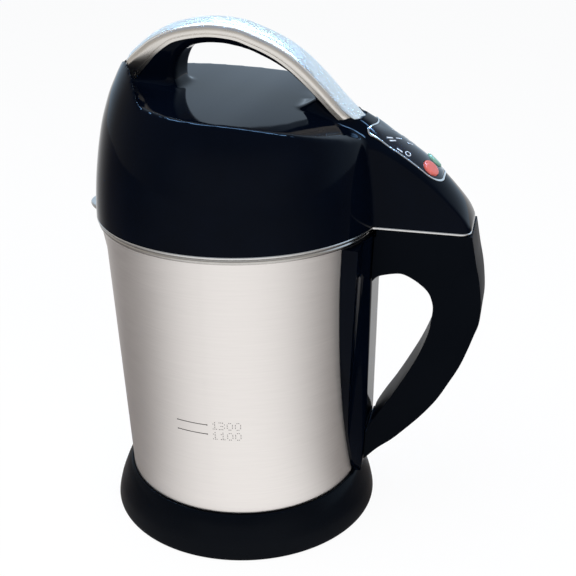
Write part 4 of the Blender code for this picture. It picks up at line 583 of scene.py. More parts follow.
def make_mug():
    rows = 44
    wall = [mug_skirt + (bead_bottom - mug_skirt) * row / rows for row in range(rows + 1)]
    outside = [(mug_radius_at(height), height) for height in wall]
    rim = mug_radius_at(bead_top)
    middle = (bead_bottom + bead_top) / 2
    half = (bead_top - bead_bottom) / 2
    bead = [
        (rim + bead_proud - half + half * math.cos(turn), middle + half * math.sin(turn))
        for turn in half_turn(10)
    ]
    inside_low = mug_floor + mug_wall
    lowest = mug_radius_at(inside_low) - mug_wall
    wall_start = inside_low + 5 * MM
    inside = [(radius - mug_wall, height) for radius, height in outside if height > wall_start]
    profile = [(0, mug_floor), (lowest, mug_floor), (outside[0][0] - mug_wall, mug_skirt)]
    profile += outside + bead + [(rim - mug_wall, bead_top - mug_wall)] + inside[::-1]
    floor_round = eased([(lowest, wall_start, 0), (lowest, inside_low, 4 * MM), (0, inside_low, 0)],
                        closed=False)
    profile += floor_round[1:]
    mug = spun("stainless_mug", profile, 240, swell_spout)
    mug.data.materials.append(finishes["stainless"])
    mug.data.materials.append(finishes["polished"])
    for face in mug.data.polygons:
        if face.center.z > bead_bottom + 0.1 * MM:
            face.material_index = 1
    return fit(mug, "mug", None, "brushed_stainless", "mug_shell")


def peened_dots(spots, dot):
    """Shallow dots on the mug's wall at (degrees from the handle, height)."""
    shape = bmesh.new()
    for angle, height in spots:
        reach = mug_radius_at(height)
        turn = math.radians(angle)
        made = bmesh.ops.create_cone(shape, cap_ends=True, segments=10, radius1=dot, radius2=dot * 0.6,
                                     depth=mark_depth)
        spot = Matrix.Translation((reach * math.cos(turn), reach * math.sin(turn), height))
        face_out = Matrix.Rotation(turn, 4, "Z") @ Matrix.Rotation(math.pi / 2, 4, "Y")
        bmesh.ops.transform(shape, matrix=spot @ face_out, verts=made["verts"])
    return shape


digit_dots = {
    "0": ("0110", "1001", "1001", "1001", "0110"),
    "1": ("0010", "0110", "0010", "0010", "0111"),
    "3": ("1110", "0001", "0110", "0001", "1110"),
}


dot_pitch = 1.15 * MM
dot_radius = 0.36 * MM
line_end_radius = 0.55 * MM
digit_spacing = 4.6
digit_narrowing = 0.9
number_start = -88.2
line_start = -104.2
line_span = 14
mark_depth = 0.12 * MM
line_width = 0.45 * MM
level_numbers = (("upper", "1300", 91 * MM), ("lower", "1100", 84 * MM))
level_lines = (("upper", 91 * MM), ("lower", 84.6 * MM))


def make_level_marks():
    """Two level lines with plain dotted numbers beside them, placed in degrees from the handle."""
    for name, text, height in level_numbers:
        spots = []
        degrees = math.degrees(dot_pitch / mug_radius_at(height)) * digit_narrowing
        for place, letter in enumerate(text):
            for row, dots in enumerate(digit_dots[letter]):
                for column, filled in enumerate(dots):
                    if filled == "1":
                        across = place * digit_spacing + column
                        spots.append((number_start + across * degrees, height + (2 - row) * dot_pitch))
        fit(new_piece(f"level_number_{name}", peened_dots(spots, dot_radius)), "mug",
            finishes["peened"], "brushed_stainless", crease=50)
    for name, height in level_lines:
        def place(across, up, height=height):
            turn = math.radians(line_start + line_span * across)
            level = height + (up - 0.5) * line_width
            reach = mug_radius_at(level) + 0.05 * MM
            return Vector((reach * math.cos(turn), reach * math.sin(turn), level))
        line = thickened(new_piece(f"level_line_{name}", draped(24, 2, place)), mark_depth)
        fit(line, "mug", finishes["peened"], "brushed_stainless")
        ends = peened_dots([(line_start, height), (line_start + line_span, height)], line_end_radius)
        fit(new_piece(f"level_line_ends_{name}", ends), "mug", finishes["peened"],
            "brushed_stainless", crease=50)


# Base and handle

heater_opening = 68 * MM
shelf_thickness = 1.8 * MM
plate_seat = 77 * MM
plate_top = 4.9 * MM
window_depth = (68 * MM, 95 * MM)


def make_base():
    outer = smooth_curve(scaled(base_outer_shares, base_radius, base_top), 6)
    wall = mug_radius_at(base_top) + gap
    shelf_top = mug_skirt - gap
    shelf_bottom = shelf_top - shelf_thickness
    profile = outer + [
        (wall, base_top - 0.5 * MM), (mug_radius_at(shelf_top) + gap, shelf_top),
        (heater_opening, shelf_top), (heater_opening, shelf_bottom), (base_cavity_top, shelf_bottom),
        (base_cavity_foot, plate_top), (plate_seat, plate_top), (plate_seat, outer[0][1]),
    ]
    base = spun("base_shroud", profile, 200)
    window_low, window_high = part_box("mains_inlet")
    half = (window_high.x - window_low.x) / 2 + gap
    inner, outer = window_depth
    window = prism("inlet window", [(-half, inner), (half, inner), (half, outer), (-half, outer)],
                   window_low.z - gap, window_high.z + gap)
    cut(base, window)
    return fit(base, "mug", finishes["base"], "black_abs", "base_ring", crease=50)


def strap_face_line():
    bottom = base_top + gap
    top = bead_bottom - strap_rim_clearance
    line = []
    for share, _ in strap_angle_shares:
        height = bottom + (top - bottom) * share
        face = strap_face_foot + (strap_face_top - strap_face_foot) * height_at(strap_face_shares, share)
        line.append((height, max(face, mug_radius_at(height) + gap + strap_thickness)))
    return smooth_curve(line, 6)


def make_strap():
    """Leaf-shaped flange against the mug, with a raised rib that carries the grip."""
    faces = strap_face_line()
    bottom, top = faces[0][0], faces[-1][0]
    angles = smooth_curve([(share, angle) for share, angle in strap_angle_shares], 6)
    columns = 56
    edge_round = 1.6 * MM
    edge_thinning = 0.7
    rib_share = 0.9

    def place(across, along):
        height = bottom + (top - bottom) * along
        half_angle = strap_half_angle * height_at(angles, along)
        inner = mug_radius_at(height) + gap
        leaf = inner + strap_thickness
        spot = round(across * 2 * columns)
        outside = spot <= columns
        share = spot / columns if outside else (2 * columns - spot) / columns
        angle = half_angle * (2 * share - 1)
        if spot == 2 * columns:
            outside, angle = True, -half_angle
        from_edge = leaf * (half_angle - abs(angle))
        if not outside:
            return Vector((inner * math.cos(angle), inner * math.sin(angle), height))
        dip = max(1 - from_edge / edge_round, 0)
        reach = leaf - strap_thickness * edge_thinning * dip ** 2
        y = reach * math.sin(angle)
        face = height_at(faces, height)
        slope_end = min(strap_slope_half_width, leaf * math.sin(half_angle))
        x = reach * math.cos(angle)
        if slope_end > strap_rib_half_width:
            edge_x = math.sqrt(leaf ** 2 - slope_end ** 2)
            ease = eased_step(strap_rib_half_width, slope_end, abs(y))
            x = max(x, face + (edge_x - face) * ease)
        else:
            x = max(x, face) if abs(y) < slope_end * rib_share else x
        return Vector((x, y, height))

    strap = skinned("handle_strap_leaf", 2 * columns, 60, place)
    return fit(strap, "mug", finishes["gloss"], "gloss_black_abs", "handle_strap", crease=50)


grip_round = 8.5 * MM
grip_hole_round_share = 0.42
pocket_near = 92 * MM
pocket_far = 134 * MM
pocket_half = 14 * MM
pocket_depth = 19 * MM


def make_grip():
    """Loop of the handle: flat sides, a round back and eased edges along the finger hole."""
    outer = smooth_curve(scaled(grip_outer_shares, handle_reach, handle_top), 5)
    hole = smooth_curve(scaled(grip_hole_shares, handle_reach, handle_top), 5)
    faces = [(height, face + gap) for height, face in strap_face_line()]
    foot = outer[-1][1]
    strap_top = faces[-1][0]

    def face_at(height):
        return height_at(faces, height)

    def between(low, high):
        heights = [low] + [height for height, _ in faces[::3] if low + MM < height < high - MM] + [high]
        return [(face_at(height), height) for height in heights]

    above = mug_radius_at(handle_top) + bead_proud + 2 * gap
    outline = [point for point in outer if point[0] > face_at(point[1])]
    outline += between(foot, hole[-1][1])
    outline += [point for point in hole[::-1] if point[0] > face_at(point[1])]
    outline += between(hole[0][1], strap_top) + [(above, strap_top), (above, handle_top)]
    grip = prism("handle_grip_loop", outline, -handle_half_width, handle_half_width, "Y")
    for vertex in grip.data.vertices:
        share = (handle_top - vertex.co.z) / (handle_top - foot)
        narrow = handle_half_width + (handle_foot_half_width - handle_half_width) * share
        vertex.co.y = math.copysign(narrow, vertex.co.y)
    pocket = [(pocket_near, -pocket_half), (pocket_far, -pocket_half), (pocket_far, pocket_half),
              (pocket_near, pocket_half)]
    hollow = prism("grip pocket", pocket, handle_top - pocket_depth, handle_top + overrun)
    weights = grip.data.attributes.new("bevel_weight_edge", "FLOAT", "EDGE")
    for edge in grip.data.edges:
        ends = [grip.data.vertices[index].co for index in edge.vertices]
        if ends[0].y * ends[1].y < 0 or ends[0].z == ends[1].z:
            continue
        if all(end.x > strap_face_top + 2.5 * MM for end in ends):
            middle = ((ends[0] + ends[1]) / 2).xz
            is_back = any((middle - Vector(point)).length < 4 * MM for point in outer)
            weights.data[edge.index].value = 1.0 if is_back else grip_hole_round_share
    bevel = grip.modifiers.new("rounded edges", "BEVEL")
    bevel.width = grip_round
    bevel.segments = 7
    bevel.limit_method = "WEIGHT"
    baked(grip)
    cut(grip, hollow)
    return fit(grip, "mug", finishes["grip"], "gloss_black_abs", "handle_grip", crease=30)


# Head

def head_curve(shares, steps, reach=tail_reach):
    """Smooth side outline of the head, from shares of its reach and height."""
    return smooth_curve(scaled(shares, reach, head_height, trim_plane), steps)


arch_curve = head_curve(arch_top_shares, 8)
tail_top = head_curve(tail_top_shares, 6)
tail_edge = head_curve(tail_edge_shares, 6)
floor_line = head_curve(floor_shares, 6)


def tail_height(x, y):
    """Height of the crowned top of the tail, which grows out of the recess floor."""
    top = height_at(tail_top, x)
    edge = height_at(tail_edge, x)
    rise = eased_step(tail_rise_start, tail_rise_end, x)
    widening = eased_step(tail_narrow_end, tail_full_start, x)
    half = arch_half_width + (tail_half_width - arch_half_width) * widening
    roundness = tail_flat_power + (2 - tail_flat_power) * eased_step(strip_end, tail_round_start, x)
    return edge + (top - edge) * rise * max(1 - abs(y / half) ** roundness, 0)


def tail_normal(x, y):
    step = 0.5 * MM
    slope_x = (tail_height(x + step, y) - tail_height(x - step, y)) / (2 * step)
    slope_y = (tail_height(x, y + step) - tail_height(x, y - step)) / (2 * step)
    return Vector((-slope_x, -slope_y, 1)).normalized()


def plan_outline(offset=0.0, fine=1):
    radius = head_radius - offset
    half_width = tail_half_width - offset
    corner = tail_corner - offset / 2
    reach = tail_end - offset
    root = math.asin(half_width / radius)
    outline = arc((0, 0), radius, root, 2 * math.pi - root, 150 * fine)
    outline += arc((reach - corner, -half_width + corner), corner, -math.pi / 2, 0, 10 * fine)
    outline += arc((reach - corner, half_width - corner), corner, 0, math.pi / 2, 10 * fine)
    return outline


def roofed(name, columns, rows, ends, half, level, surface):
    """Closed body between a surface z(x, y) and a flat level, from side to side."""
    low, high = ends

    def place(across, along):
        x = low + (high - low) * along
        spot = round(across * columns)
        if spot in (0, columns):
            return Vector((x, half, level))
        if spot == 1:
            return Vector((x, -half, level))
        y = -half + 2 * half * (spot - 2) / (columns - 3)
        return Vector((x, y, surface(x, y)))

    return skinned(name, columns, rows, place)


def above_floor(name, drop, reach):
    """Everything over the crowned recess floor, or over it less a drop."""
    def floor_height(x, y):
        crown = floor_crown * (1 - (y / head_radius) ** 2)
        shoulder = far_shoulder_drop * eased_step(*far_shoulder_x, x) * eased_step(*far_shoulder_y, y)
        return height_at(floor_line, x) + crown - shoulder - drop

    ends = (floor_line[0][0], floor_line[-1][0])
    return roofed(name, 44, 60, ends, reach, trim_plane + head_height + 30 * MM, floor_height)


recess_margin = 22 * MM
recess_low = trim_plane + 20 * MM
recess_high = trim_plane + head_height + 25 * MM
hole_top = trim_plane + head_height + 40 * MM
hole_drop = 10 * MM


def make_recess():
    """Finger recesses on both sides of the arch and the opening under it, with soft corners."""
    reach = head_radius + recess_margin
    depth = recess_corner_depth - arch_half_width
    further = (reach - recess_corner_depth) / depth
    near_x = -recess_corner + (recess_foot - recess_corner) * further
    far_x = -recess_far_corner + (recess_foot - recess_far_corner) * further
    plan = [
        (-recess_foot, -arch_half_width), (near_x, -reach), (reach, -reach), (reach, reach),
        (far_x, reach), (-recess_foot, arch_half_width),
    ]
    recess = prism("finger recess", plan, recess_low, recess_high)
    cut(recess, above_floor("above floor", 0, reach + 2 * MM), "INTERSECT")
    hole = head_curve(hole_shares, 4)
    start, start_low = hole[0][0], hole[0][1] - hole_drop
    end, end_low = hole[-1][0], hole[-1][1] - hole_drop
    outline = [(-reach - MM, start_low), (start, start_low)] + hole
    outline += [(end, end_low), (reach + MM, end_low), (reach + MM, hole_top), (-reach - MM, hole_top)]
    kept = prism("arch kept", outline, -arch_half_width, arch_half_width, "Y")
    cut(recess, kept)
    return remeshed(recess, recess_voxel, 6)


recess_voxel = 1.6 * MM
casing_voxel = 1.15 * MM
strip_root = Vector((76, 0, 254)) * MM
strip_root_reach = Vector((20, 42, 12)) * MM
arch_foot = Vector((-40, 0, 273)) * MM
arch_foot_reach = Vector((15, 26, 12)) * MM


def make_head_casing():
    low = head_bottom - 8 * MM
    reach = head_radius + overrun
    dome = head_curve(dome_shares, 5, head_radius)
    casing = spun("head_casing", [(0, low), (head_radius, low)] + dome, 180)
    arch = [point for point in arch_curve if point[0] <= arch_end]
    crest = max(arch, key=lambda point: point[1])[0]
    ceiling = trim_plane + head_height + overrun
    floor = [point for point in floor_line if point[0] > arch[-1][0]]
    outline = [(-reach, low - MM), (reach, low - MM), (reach, floor[-1][1])] + floor[::-1][1:]
    outline += [(arch[-1][0], height_at(floor_line, arch[-1][0]))]
    outline += [point for point in arch[::-1] if point[0] > crest]
    outline += [(crest, ceiling), (-reach, ceiling)]
    cut(casing, prism("side view", outline, -reach, reach, "Y"), "INTERSECT")
    cut(casing, make_recess())

    def tail_top_height(x, y):
        return max(tail_height(x, y), low + MM)

    tail = roofed("tail", 30, 90, (tail_root, tail_reach), tail_half_width, low, tail_top_height)
    cut(tail, prism("tail plan", plan_outline(), low - MM, ceiling), "INTERSECT")
    cut(casing, tail, "UNION")
    remeshed(casing, casing_voxel, 9)
    soften_near(casing, strip_root, strip_root_reach, 24)
    soften_near(casing, arch_foot, arch_foot_reach, 30)
    inner_dome = [(max(radius - head_wall, 0), height) for radius, height in dome]
    inside = head_radius - head_wall
    slab = head_radius + 70 * MM
    hollow = spun("head hollow", [(0, head_bottom - 20 * MM), (slab, head_bottom - 20 * MM),
                                  (slab, head_bottom), (inside, head_bottom)] + inner_dome, 120)
    cut(hollow, above_floor("over hollow", head_wall + floor_crown, slab + MM))

    def tail_roof_height(x, y):
        return max(tail_height(x, y) - tail_roof, head_bottom - overrun / 2)

    tail_hollow = (tail_hollow_start, tail_reach - 5 * MM)
    half = tail_half_width - head_wall
    cut(hollow, roofed("tail hollow", 16, 30, tail_hollow, half, head_bottom - overrun, tail_roof_height),
        "UNION")
    cut(casing, hollow)
    cut(casing, strip_skin("strip pocket", 0.5 * MM))
    cut(casing, panel_slab("panel pocket", 1.5 * MM, -1.8 * MM, overrun))
    for y in (-button_offset, button_offset):
        cut(casing, button_hole(well_radius, -well_depth, y))
    return fit(casing, "head", finishes["gloss"], "gloss_black_abs", "head_shell", crease=38)


# Strip on the arch

strip_start = -69.5 * MM
strip_end_ease = 5 * MM
strip_leg = 9.6 * MM
strip_leg_at_foot = 14.5 * MM
strip_leg_at_end = 8.6 * MM
strip_end_round = 10 * MM
strip_foot_drop = 7 * MM
strip_corner = 4.6 * MM
strip_crown = 1.8 * MM
strip_sink = 0.15 * MM
strip_wall = 1.2 * MM
strip_groove = ((0, 1.5 * MM), (0.4 * MM, 1.7 * MM), (0.4 * MM, 2.0 * MM), (0, 2.2 * MM))
strip_foot_start = -36 * MM
strip_foot_drop_start = -40 * MM
strip_foot_end = -66 * MM
strip_end_leg_start = 42 * MM


def strip_skin(name, swell=0.0):
    """Crowned strip with deep turned-down sides along the top of the arch, its lower end rounded."""
    curve = [point for point in arch_curve if strip_start <= point[0] <= strip_end]
    line = evenly(curve, 120)
    total = sum((far - near).length for near, far in zip(line, line[1:]))
    rows = 110
    out = overrun if swell else 0
    corner, crown, sink = strip_corner, strip_crown, strip_sink

    def section(half, leg=strip_leg):
        flat = half - corner
        side = [(half, -leg)]
        if not swell:
            side += [(half - depth, height - leg) for depth, height in strip_groove]
        side += [
            (half - corner * (1 - math.cos(turn)), out - sink - crown - corner * (1 - math.sin(turn)))
            for turn in [math.radians(90 * step / 8) for step in range(9)]
        ]
        top = [(flat * share, out - sink - crown * share ** 2) for share in (0.8, 0.6, 0.4, 0.2, 0)]
        half_ring = side + top
        ring = half_ring + [(-y, n) for y, n in half_ring[-2::-1]]
        inner = half - strip_wall - swell
        roof = -crown - strip_wall - swell
        ring += [(-inner, -leg), (-inner, roof), (inner, roof), (inner, -leg)]
        return ring + [ring[0]]

    columns = len(section(1)) - 1

    def place(across, along):
        ease = 0.5 - 0.5 * math.cos(math.pi * along)
        distance = total * (0.002 + 0.996 * ease)
        spot = distance / total
        here = point_along(line, spot)
        ahead = point_along(line, min(spot + 0.02, 1)) - point_along(line, max(spot - 0.02, 0))
        normal = Vector((-ahead.y, ahead.x)).normalized()
        share = min(min(distance, total - distance) / strip_end_ease, 1)
        rounding = min((total - distance) / strip_end_round, 1)
        width = arch_half_width - 2.5 * MM * (1 - share) ** 2
        width = width * (1 - 0.45 * (1 - rounding) ** 2.4) + swell
        foot = eased_step(strip_foot_start, strip_foot_end, here.x)
        leg = strip_leg + (strip_leg_at_foot - strip_leg) * foot
        leg += (strip_leg_at_end - strip_leg) * eased_step(strip_end_leg_start, strip_end, here.x) + swell
        y, n = section(width, leg)[round(across * columns)]
        dropping = eased_step(strip_foot_drop_start, strip_foot_end, here.x)
        drop = dropping * strip_foot_drop * max(-n / leg, 0)
        spot = here + normal * n - ahead.normalized() * drop
        return Vector((spot.x, y, spot.y))

    return skinned(name, columns, rows, place)


def make_strip():
    return fit(strip_skin("chromed_arch_strip"), "head", finishes["chrome"], "chromed_trim",
               "arch_strip", crease=50)


trim_low = 199.1 * MM
trim_high = 200.9 * MM
trim_depth = 3.6 * MM
trim_round_share = 0.22
trim_steps = 640


def make_trim():
    """Bright line between head and mug, rounded on its outside."""
    outline = evenly(plan_outline(fine=2), trim_steps, closed=True)
    inner = evenly(plan_outline(trim_depth, fine=2), trim_steps, closed=True)
    low, high = trim_low, trim_high
    middle = (low + high) / 2
    half = (high - low) / 2
    section = [(0, low)]
    section += [(1 - trim_round_share * (1 - math.cos(turn)), middle + half * math.sin(turn))
                for turn in half_turn(8)]
    section += [(0, high), (0, low)]
    count = len(section) - 1

    def place(across, along):
        spot = min(round(along * trim_steps), trim_steps)
        share, level = section[round(across * count)]
        edge = Vector(outline[spot])
        inside = nearest_inner[spot]
        point = inside.lerp(edge, share)
        return Vector((point.x, point.y, level))

    nearest_inner = [min(inner, key=lambda other: (other - Vector(edge)).length) for edge in outline]
    trim = skinned("bright_trim_line", count, trim_steps, place, loop=True)
    return fit(trim, "head", finishes["trim"], "chromed_trim", "head_trim", crease=50)


# Control panel

panel_near = 80 * MM
panel_far = 121.5 * MM
panel_half = 14.5 * MM
panel_hollow = 3.5 * MM
button_reach = 115 * MM
button_offset = 8.2 * MM
film_hole_radius = 5.6 * MM
film_depth = 1.5 * MM
well_radius = 6.3 * MM
well_depth = 12 * MM
panel_corner = 9 * MM
panel_near_corner = 1.6 * MM
frame_inner = 0.3 * MM
frame_outer = 1.2 * MM


def panel_outline(grow):
    """Plan of the panel: a round far end, and a hollow curve at the end beside the strip."""
    near, far, half = panel_near - grow, panel_far + grow, panel_half + grow
    corner = panel_corner + grow
    tip = panel_near_corner + grow
    quarter = math.pi / 2
    outline = arc((far - corner, half - corner), corner, 0, quarter, 14)
    outline += arc((near + tip, half - tip), tip, quarter, 2 * quarter, 8)
    hollow = [half * (0.8 - 0.1 * step) for step in range(17)]
    outline += [(near + panel_hollow * (1 - (y / half) ** 2) ** 1.5, y) for y in hollow]
    outline += arc((near + tip, -half + tip), tip, 2 * quarter, 3 * quarter, 8)
    outline += arc((far - corner, -half + corner), corner, 3 * quarter, 4 * quarter, 14)
    return outline


def on_tail(x, y, out):
    return Vector((x, y, tail_height(x, y))) + tail_normal(x, y) * out


def panel_slab(name, grow, low, high):
    """Part of a sheet parallel to the top of the tail, cut to the panel's plan."""
    start, end = panel_near - 2 * overrun, panel_far + overrun
    half = tail_half_width

    def place(across, along):
        return on_tail(start + (end - start) * across, half * (2 * along - 1), high)

    slab = thickened(new_piece(name, draped(60, 36, place)), high - low)
    plan = prism("plan", panel_outline(grow), trim_plane, trim_plane + head_height)
    return cut(slab, plan, "INTERSECT")


def button_turned(name, profile, y, x=button_reach):
    piece = spun(name, profile, 40)
    base = on_tail(x, y, 0)
    turn = Vector((0, 0, 1)).rotation_difference(tail_normal(x, y))
    piece.data.transform(Matrix.Translation(base) @ turn.to_matrix().to_4x4())
    return piece


def button_hole(radius, low, y):
    return button_turned("button hole", [(0, low), (radius, low), (radius, overrun), (0, overrun)], y)


def make_panel():
    plate = panel_slab("panel_film", 0, -film_depth, 0)
    for y in (-button_offset, button_offset):
        cut(plate, button_hole(film_hole_radius, -overrun, y))
    fit(plate, "head", finishes["panel"], "panel_black", "panel_plate", crease=50)
    inner = evenly(panel_outline(frame_inner), 320, closed=True)
    outer = evenly(panel_outline(frame_outer), 320, closed=True)
    section = ((0, -1.5), (1, -1.5), (1, 0.12), (0.75, 0.28), (0.25, 0.28), (0, 0.12), (0, -1.5))

    def place(across, along):
        spot = min(round(along * 320), 320)
        share, out = section[round(across * 6)]
        point = inner[spot].lerp(outer[spot], share)
        return on_tail(point.x, point.y, out * MM)

    ring = skinned("panel_silver_frame", 6, 320, place, loop=True)
    fit(ring, "head", finishes["trim"], "chromed_trim", "panel_frame", crease=50)
    for name, y, finish, slot in (("start", -button_offset, "red", "button_red"),
                                  ("function", button_offset, "green", "button_green")):
        corners = [(0, -4.0, 0), (2, -4.0, 0), (2, -3.9, 0), (6, -3.9, 0), (6, -2.7, 0), (5.3, -2.7, 0),
                   (5.3, 0.9, 0.8), (3.6, 1.35, 1.2), (0, 1.4, 0)]
        scaled_corners = [(a * MM, b * MM, c * MM) for a, b, c in corners]
        button = button_turned(f"{name}_button_cap", eased(scaled_corners, closed=False), y)
        fit(button, f"{name}_button", finishes[finish], slot, f"{name}_button", crease=50)


bar_width = 0.75 * MM
ink_top = 0.1 * MM
ink_bottom = 0.02 * MM
ink_depth = 0.09 * MM
ring_inner = 1.3 * MM
ring_outer = 1.85 * MM
ring_places = (("one", 102 * MM, -11.5 * MM), ("two", 102 * MM, 9.5 * MM))
bar_places_mm = (
    ((89.5, -10.8), (92.5, -7.6)), ((91.3, -11.4), (94.3, -8.2)), ((94.2, -5.6), (97.0, -2.6)),
    ((100.2, -2.2), (103.2, 0.8)), ((95.8, -13.2), (99.0, -13.2)), ((90.5, 2.6), (93.5, 5.6)),
    ((96.2, 6.2), (99.2, 9.2)),
)


def panel_bar(name, start, end):
    """Short printed bar on the film between two points of the panel."""
    start, end = Vector(start) * MM, Vector(end) * MM
    aside = Vector((start.y - end.y, end.x - start.x)).normalized() * bar_width

    def place(across, along):
        spot = start.lerp(end, along) + aside * (across - 0.5)
        return on_tail(spot.x, spot.y, ink_top)

    bar = thickened(new_piece(name, draped(3, 12, place)), ink_depth)
    fit(bar, "head", finishes["ink"], "panel_black")


def make_panel_marks():
    """Plain printed rings and bars beside the buttons, no lettering."""
    section = [(ring_inner, ink_bottom), (ring_outer, ink_bottom), (ring_outer, ink_top),
               (ring_inner, ink_top)]
    for name, x, y in ring_places:
        ring = button_turned(f"panel_ring_{name}", section, y, x)
        fit(ring, "head", finishes["ink"], "panel_black")
    for number, (start, end) in enumerate(bar_places_mm, 1):
        panel_bar(f"panel_bar_{number}", start, end)


# Pieces under the head, seen when it is lifted off

housing_radius = 80.2 * MM
housing_flange = 84.2 * MM
housing_wall = 2 * MM
housing_bottom = 171.1 * MM
housing_shoulder = 176.1 * MM
housing_floor_edge = 68.2 * MM
housing_bore = 8 * MM
flange_bottom = 201.2 * MM
flange_top = 203.2 * MM
seal_groove_radius = 79.2 * MM
seal_groove = (186.8 * MM, 190.4 * MM)
seal_in = 79.5 * MM
seal_out = 81.1 * MM
seal_round = 0.8 * MM


def make_lower_pieces():
    groove_low, groove_high = seal_groove
    bowl_inside = housing_radius - housing_wall
    floor_top = housing_bottom + housing_wall
    housing = eased([
        (housing_bore, housing_bottom, 0), (housing_floor_edge, housing_bottom, 3 * MM),
        (housing_radius, housing_shoulder, 2 * MM), (housing_radius, groove_low, 0.3 * MM),
        (seal_groove_radius, groove_low, 0), (seal_groove_radius, groove_high, 0),
        (housing_radius, groove_high, 0.3 * MM), (housing_radius, flange_bottom, 0.5 * MM),
        (housing_flange, flange_bottom, 0.4 * MM), (housing_flange, flange_top, 0.4 * MM),
        (bowl_inside, flange_top, 0), (bowl_inside, housing_shoulder + MM, MM),
        (housing_floor_edge - MM, floor_top, MM), (housing_bore, floor_top, 0),
    ])
    fit(spun("lower_housing_bowl", housing, 200), "head", finishes["inner"], "black_abs", "lower_housing")
    low, high = groove_low + gap, groove_high - gap
    seal = eased([(seal_in, low, 0), (seal_out, low, seal_round), (seal_out, high, seal_round),
                  (seal_in, high, 0)])
    fit(spun("silicone_head_seal", seal, 160), "head", finishes["silicone"], "silicone", "head_seal")


# Floor, backdrop and light

def along_line(tree, vector, direction, low, high):
    """Share that goes smoothly from 0 to 1 as a vector's reach along a direction goes from low to high."""
    reach = add_node(tree, "ShaderNodeVectorMath", {0: vector, 1: Vector(direction).normalized()},
                     operation="DOT_PRODUCT")
    share = add_node(tree, "ShaderNodeMapRange", {
        "Value": reach.outputs["Value"], "From Min": low, "From Max": high,
    }, interpolation_type="SMOOTHSTEP")
    return share.outputs["Result"]


floor_radius = 3.2
white = (1, 1, 1, 1)
paper = linear("#f6f6f6")
# Painted shade: the dim colour the floor's glow takes at the sides, seen by glossy rays only
painted_side_shade = (0.17, 0.15, 0.14, 1)
white_share = 0.93
front_side = (0.12, -0.99, 0)
back_side = (-0.2, 0.98, 0)


def make_floor():
    """Plain white paper. For glossy rays only, its glow is painted: bright in front and behind, with
    painted shade at the sides.
    """
    floor = spun("studio_floor", [(0, 0), (floor_radius, 0), (floor_radius, -0.01), (0, -0.01)], 96)
    finish = bpy.data.materials.new("white_paper_sweep")
    finish.use_nodes = True
    tree = finish.node_tree
    shader = tree.nodes["Principled BSDF"]
    shader.inputs["Base Color"].default_value = paper
    shader.inputs["Roughness"].default_value = 0.85
    shader.inputs["Specular IOR Level"].default_value = 0.0
    place = add_node(tree, "ShaderNodeTexCoord").outputs["Object"]
    outward = add_node(tree, "ShaderNodeVectorMath", {0: place}, operation="NORMALIZE").outputs["Vector"]
    # Painted light in the floor's glow for glossy rays: full white in front and behind, painted shade at
    # the sides
    lit = along_line(tree, outward, front_side, 0.08, 1.05)
    lit_behind = along_line(tree, outward, back_side, 0.35, 1.0)
    lit = add_node(tree, "ShaderNodeMath", {0: lit, 1: lit_behind}, operation="MAXIMUM").outputs["Value"]
    painted_reflection_glow = add_node(tree, "ShaderNodeMix", {0: lit, 6: painted_side_shade, 7: white}, data_type="RGBA")
    rays = add_node(tree, "ShaderNodeLightPath")
    seen = rays.outputs["Is Camera Ray"]
    for kind in ("Is Glossy Ray", "Is Transmission Ray"):
        seen = add_node(tree, "ShaderNodeMath", {0: seen, 1: rays.outputs[kind]},
                        operation="MAXIMUM").outputs["Value"]
    share = add_node(tree, "ShaderNodeMath", {0: seen, 1: white_share}, operation="MULTIPLY")
    # Glossy rays see the painted glow; camera and transmission rays see plain white
    shown = add_node(tree, "ShaderNodeMix", {
        0: rays.outputs["Is Glossy Ray"], 6: white, 7: painted_reflection_glow.outputs[2],
    }, data_type="RGBA")
    glow = add_node(tree, "ShaderNodeEmission", {"Color": shown.outputs[2]})
    mix = add_node(tree, "ShaderNodeMixShader", {
        0: share.outputs["Value"], 1: shader.outputs["BSDF"], 2: glow.outputs["Emission"],
    })
    tree.links.new(mix.outputs["Shader"], tree.nodes["Material Output"].inputs["Surface"])
    floor.data.materials.append(finish)


def multiplied(tree, first, *others):
    """Product of several shares."""
    for other in others:
        first = add_node(tree, "ShaderNodeMath", {0: first, 1: other},
                         operation="MULTIPLY").outputs["Value"]
    return first


cool_backdrop = (0.72, 0.90, 1.09, 1)
warm_room = linear("#b3afaa")
ceiling_colour = linear("#98a4b6")
crease_light_colour = (21, 40, 71, 1)


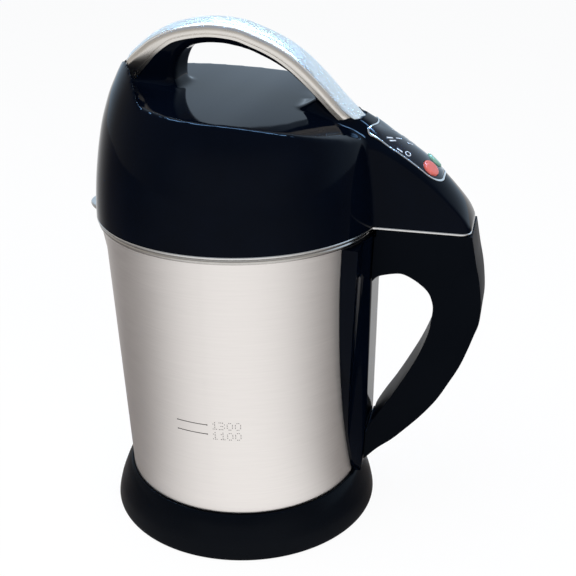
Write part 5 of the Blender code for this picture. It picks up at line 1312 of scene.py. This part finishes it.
def make_world():
    """Studio round the object: bright and cool behind, dimmer in front and overhead."""
    world = bpy.data.worlds.new("studio")
    scene.world = world
    world.use_nodes = True
    tree = world.node_tree
    place = add_node(tree, "ShaderNodeTexCoord").outputs["Generated"]
    behind = along_line(tree, place, (0.25, 0.97, 0), 0.0, 0.5)
    overhead = along_line(tree, place, (0, 0, 1), 0.45, 0.85)
    # Wide soft panel in front, low enough to light the mug more than the dome
    front_panel = multiplied(tree, along_line(tree, place, (0.2, -0.98, 0), 0.45, 0.99),
                             along_line(tree, place, (0, 0, -1), -0.34, 0.0))
    # Small bright panel high behind, which draws the line along the creases
    crease_light = multiplied(tree, along_line(tree, place, (-0.1, 1, 0), 0.1, 0.25),
                              along_line(tree, place, (0, 0, 1), 0.83, 0.88),
                              along_line(tree, place, (0, 0, -1), -0.95, -0.90),
                              add_node(tree, "ShaderNodeLightPath").outputs["Is Glossy Ray"])
    colour = warm_room
    for share, over in ((behind, cool_backdrop), (overhead, ceiling_colour), (front_panel, white),
                        (crease_light, crease_light_colour)):
        layer = add_node(tree, "ShaderNodeMix", {0: share, 6: colour, 7: over}, data_type="RGBA")
        colour = layer.outputs[2]
    tree.links.new(colour, tree.nodes["Background"].inputs["Color"])


def add_softbox(name, place, aim, width, height, power, colour):
    """Large soft lamp. Its own shape isn't mirrored in the gloss: the world's panels are."""
    lamp = bpy.data.lights.new(name, "AREA")
    lamp.shape = "ELLIPSE"
    lamp.size = width
    lamp.size_y = height
    lamp.energy = power
    lamp.color = linear(colour)[:3]
    box = bpy.data.objects.new(name, lamp)
    box.location = place
    box.rotation_euler = (Vector(aim) - Vector(place)).to_track_quat("-Z", "Y").to_euler()
    box.visible_glossy = False
    scene.collection.objects.link(box)


def make_lights():
    middle = (0, 0, 0.15)
    add_softbox("overhead_softbox", (-0.3, -0.3, 1.4), middle, 1.3, 1.3, 16, "#f6f8ff")
    add_softbox("front_right_softbox", (0.9, -0.9, 0.7), middle, 0.9, 0.9, 7, "#fff6ee")


carried_finishes = {
    "base": "base_plate", "rubber": "foot_1 foot_2 foot_3 foot_4 shaft_seal",
    "zinc": "base_screw_1 base_screw_2 base_screw_3 handle_screw_lower handle_screw_upper "
            "heater_ring lower_bearing upper_bearing motor_can rotor_core transformer",
    "cast": "heater_plate motor_bracket",
    "phenolic": "thermostat mains_inlet coupler_socket coupler_plug start_switch function_switch",
    "brass": "inlet_pin_1 inlet_pin_2 inlet_pin_3 coupler_pin_1 coupler_pin_2 coupler_pin_3",
    "wire": "handle_wiring", "board": "control_board power_board", "inner": "tail_cover",
    "polished": "overflow_probe temperature_probe head_screw_1 head_screw_2 head_screw_3 blade "
                "blade_nut motor_shaft motor_sleeve blade_guard",
    "copper": "motor_stator", "fan": "cooling_fan",
}


def dress_carried_nodes():
    for finish, names in carried_finishes.items():
        for name in names.split():
            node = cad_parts[name]
            node.data.materials.clear()
            node.data.materials.append(finishes[finish])


make_mug()
make_level_marks()
make_base()
make_strap()
make_grip()
make_head_casing()
make_strip()
make_trim()
make_panel()
make_panel_marks()
make_lower_pieces()
dress_carried_nodes()
make_floor()
make_world()
make_lights()

scene.view_settings.view_transform = "Standard"
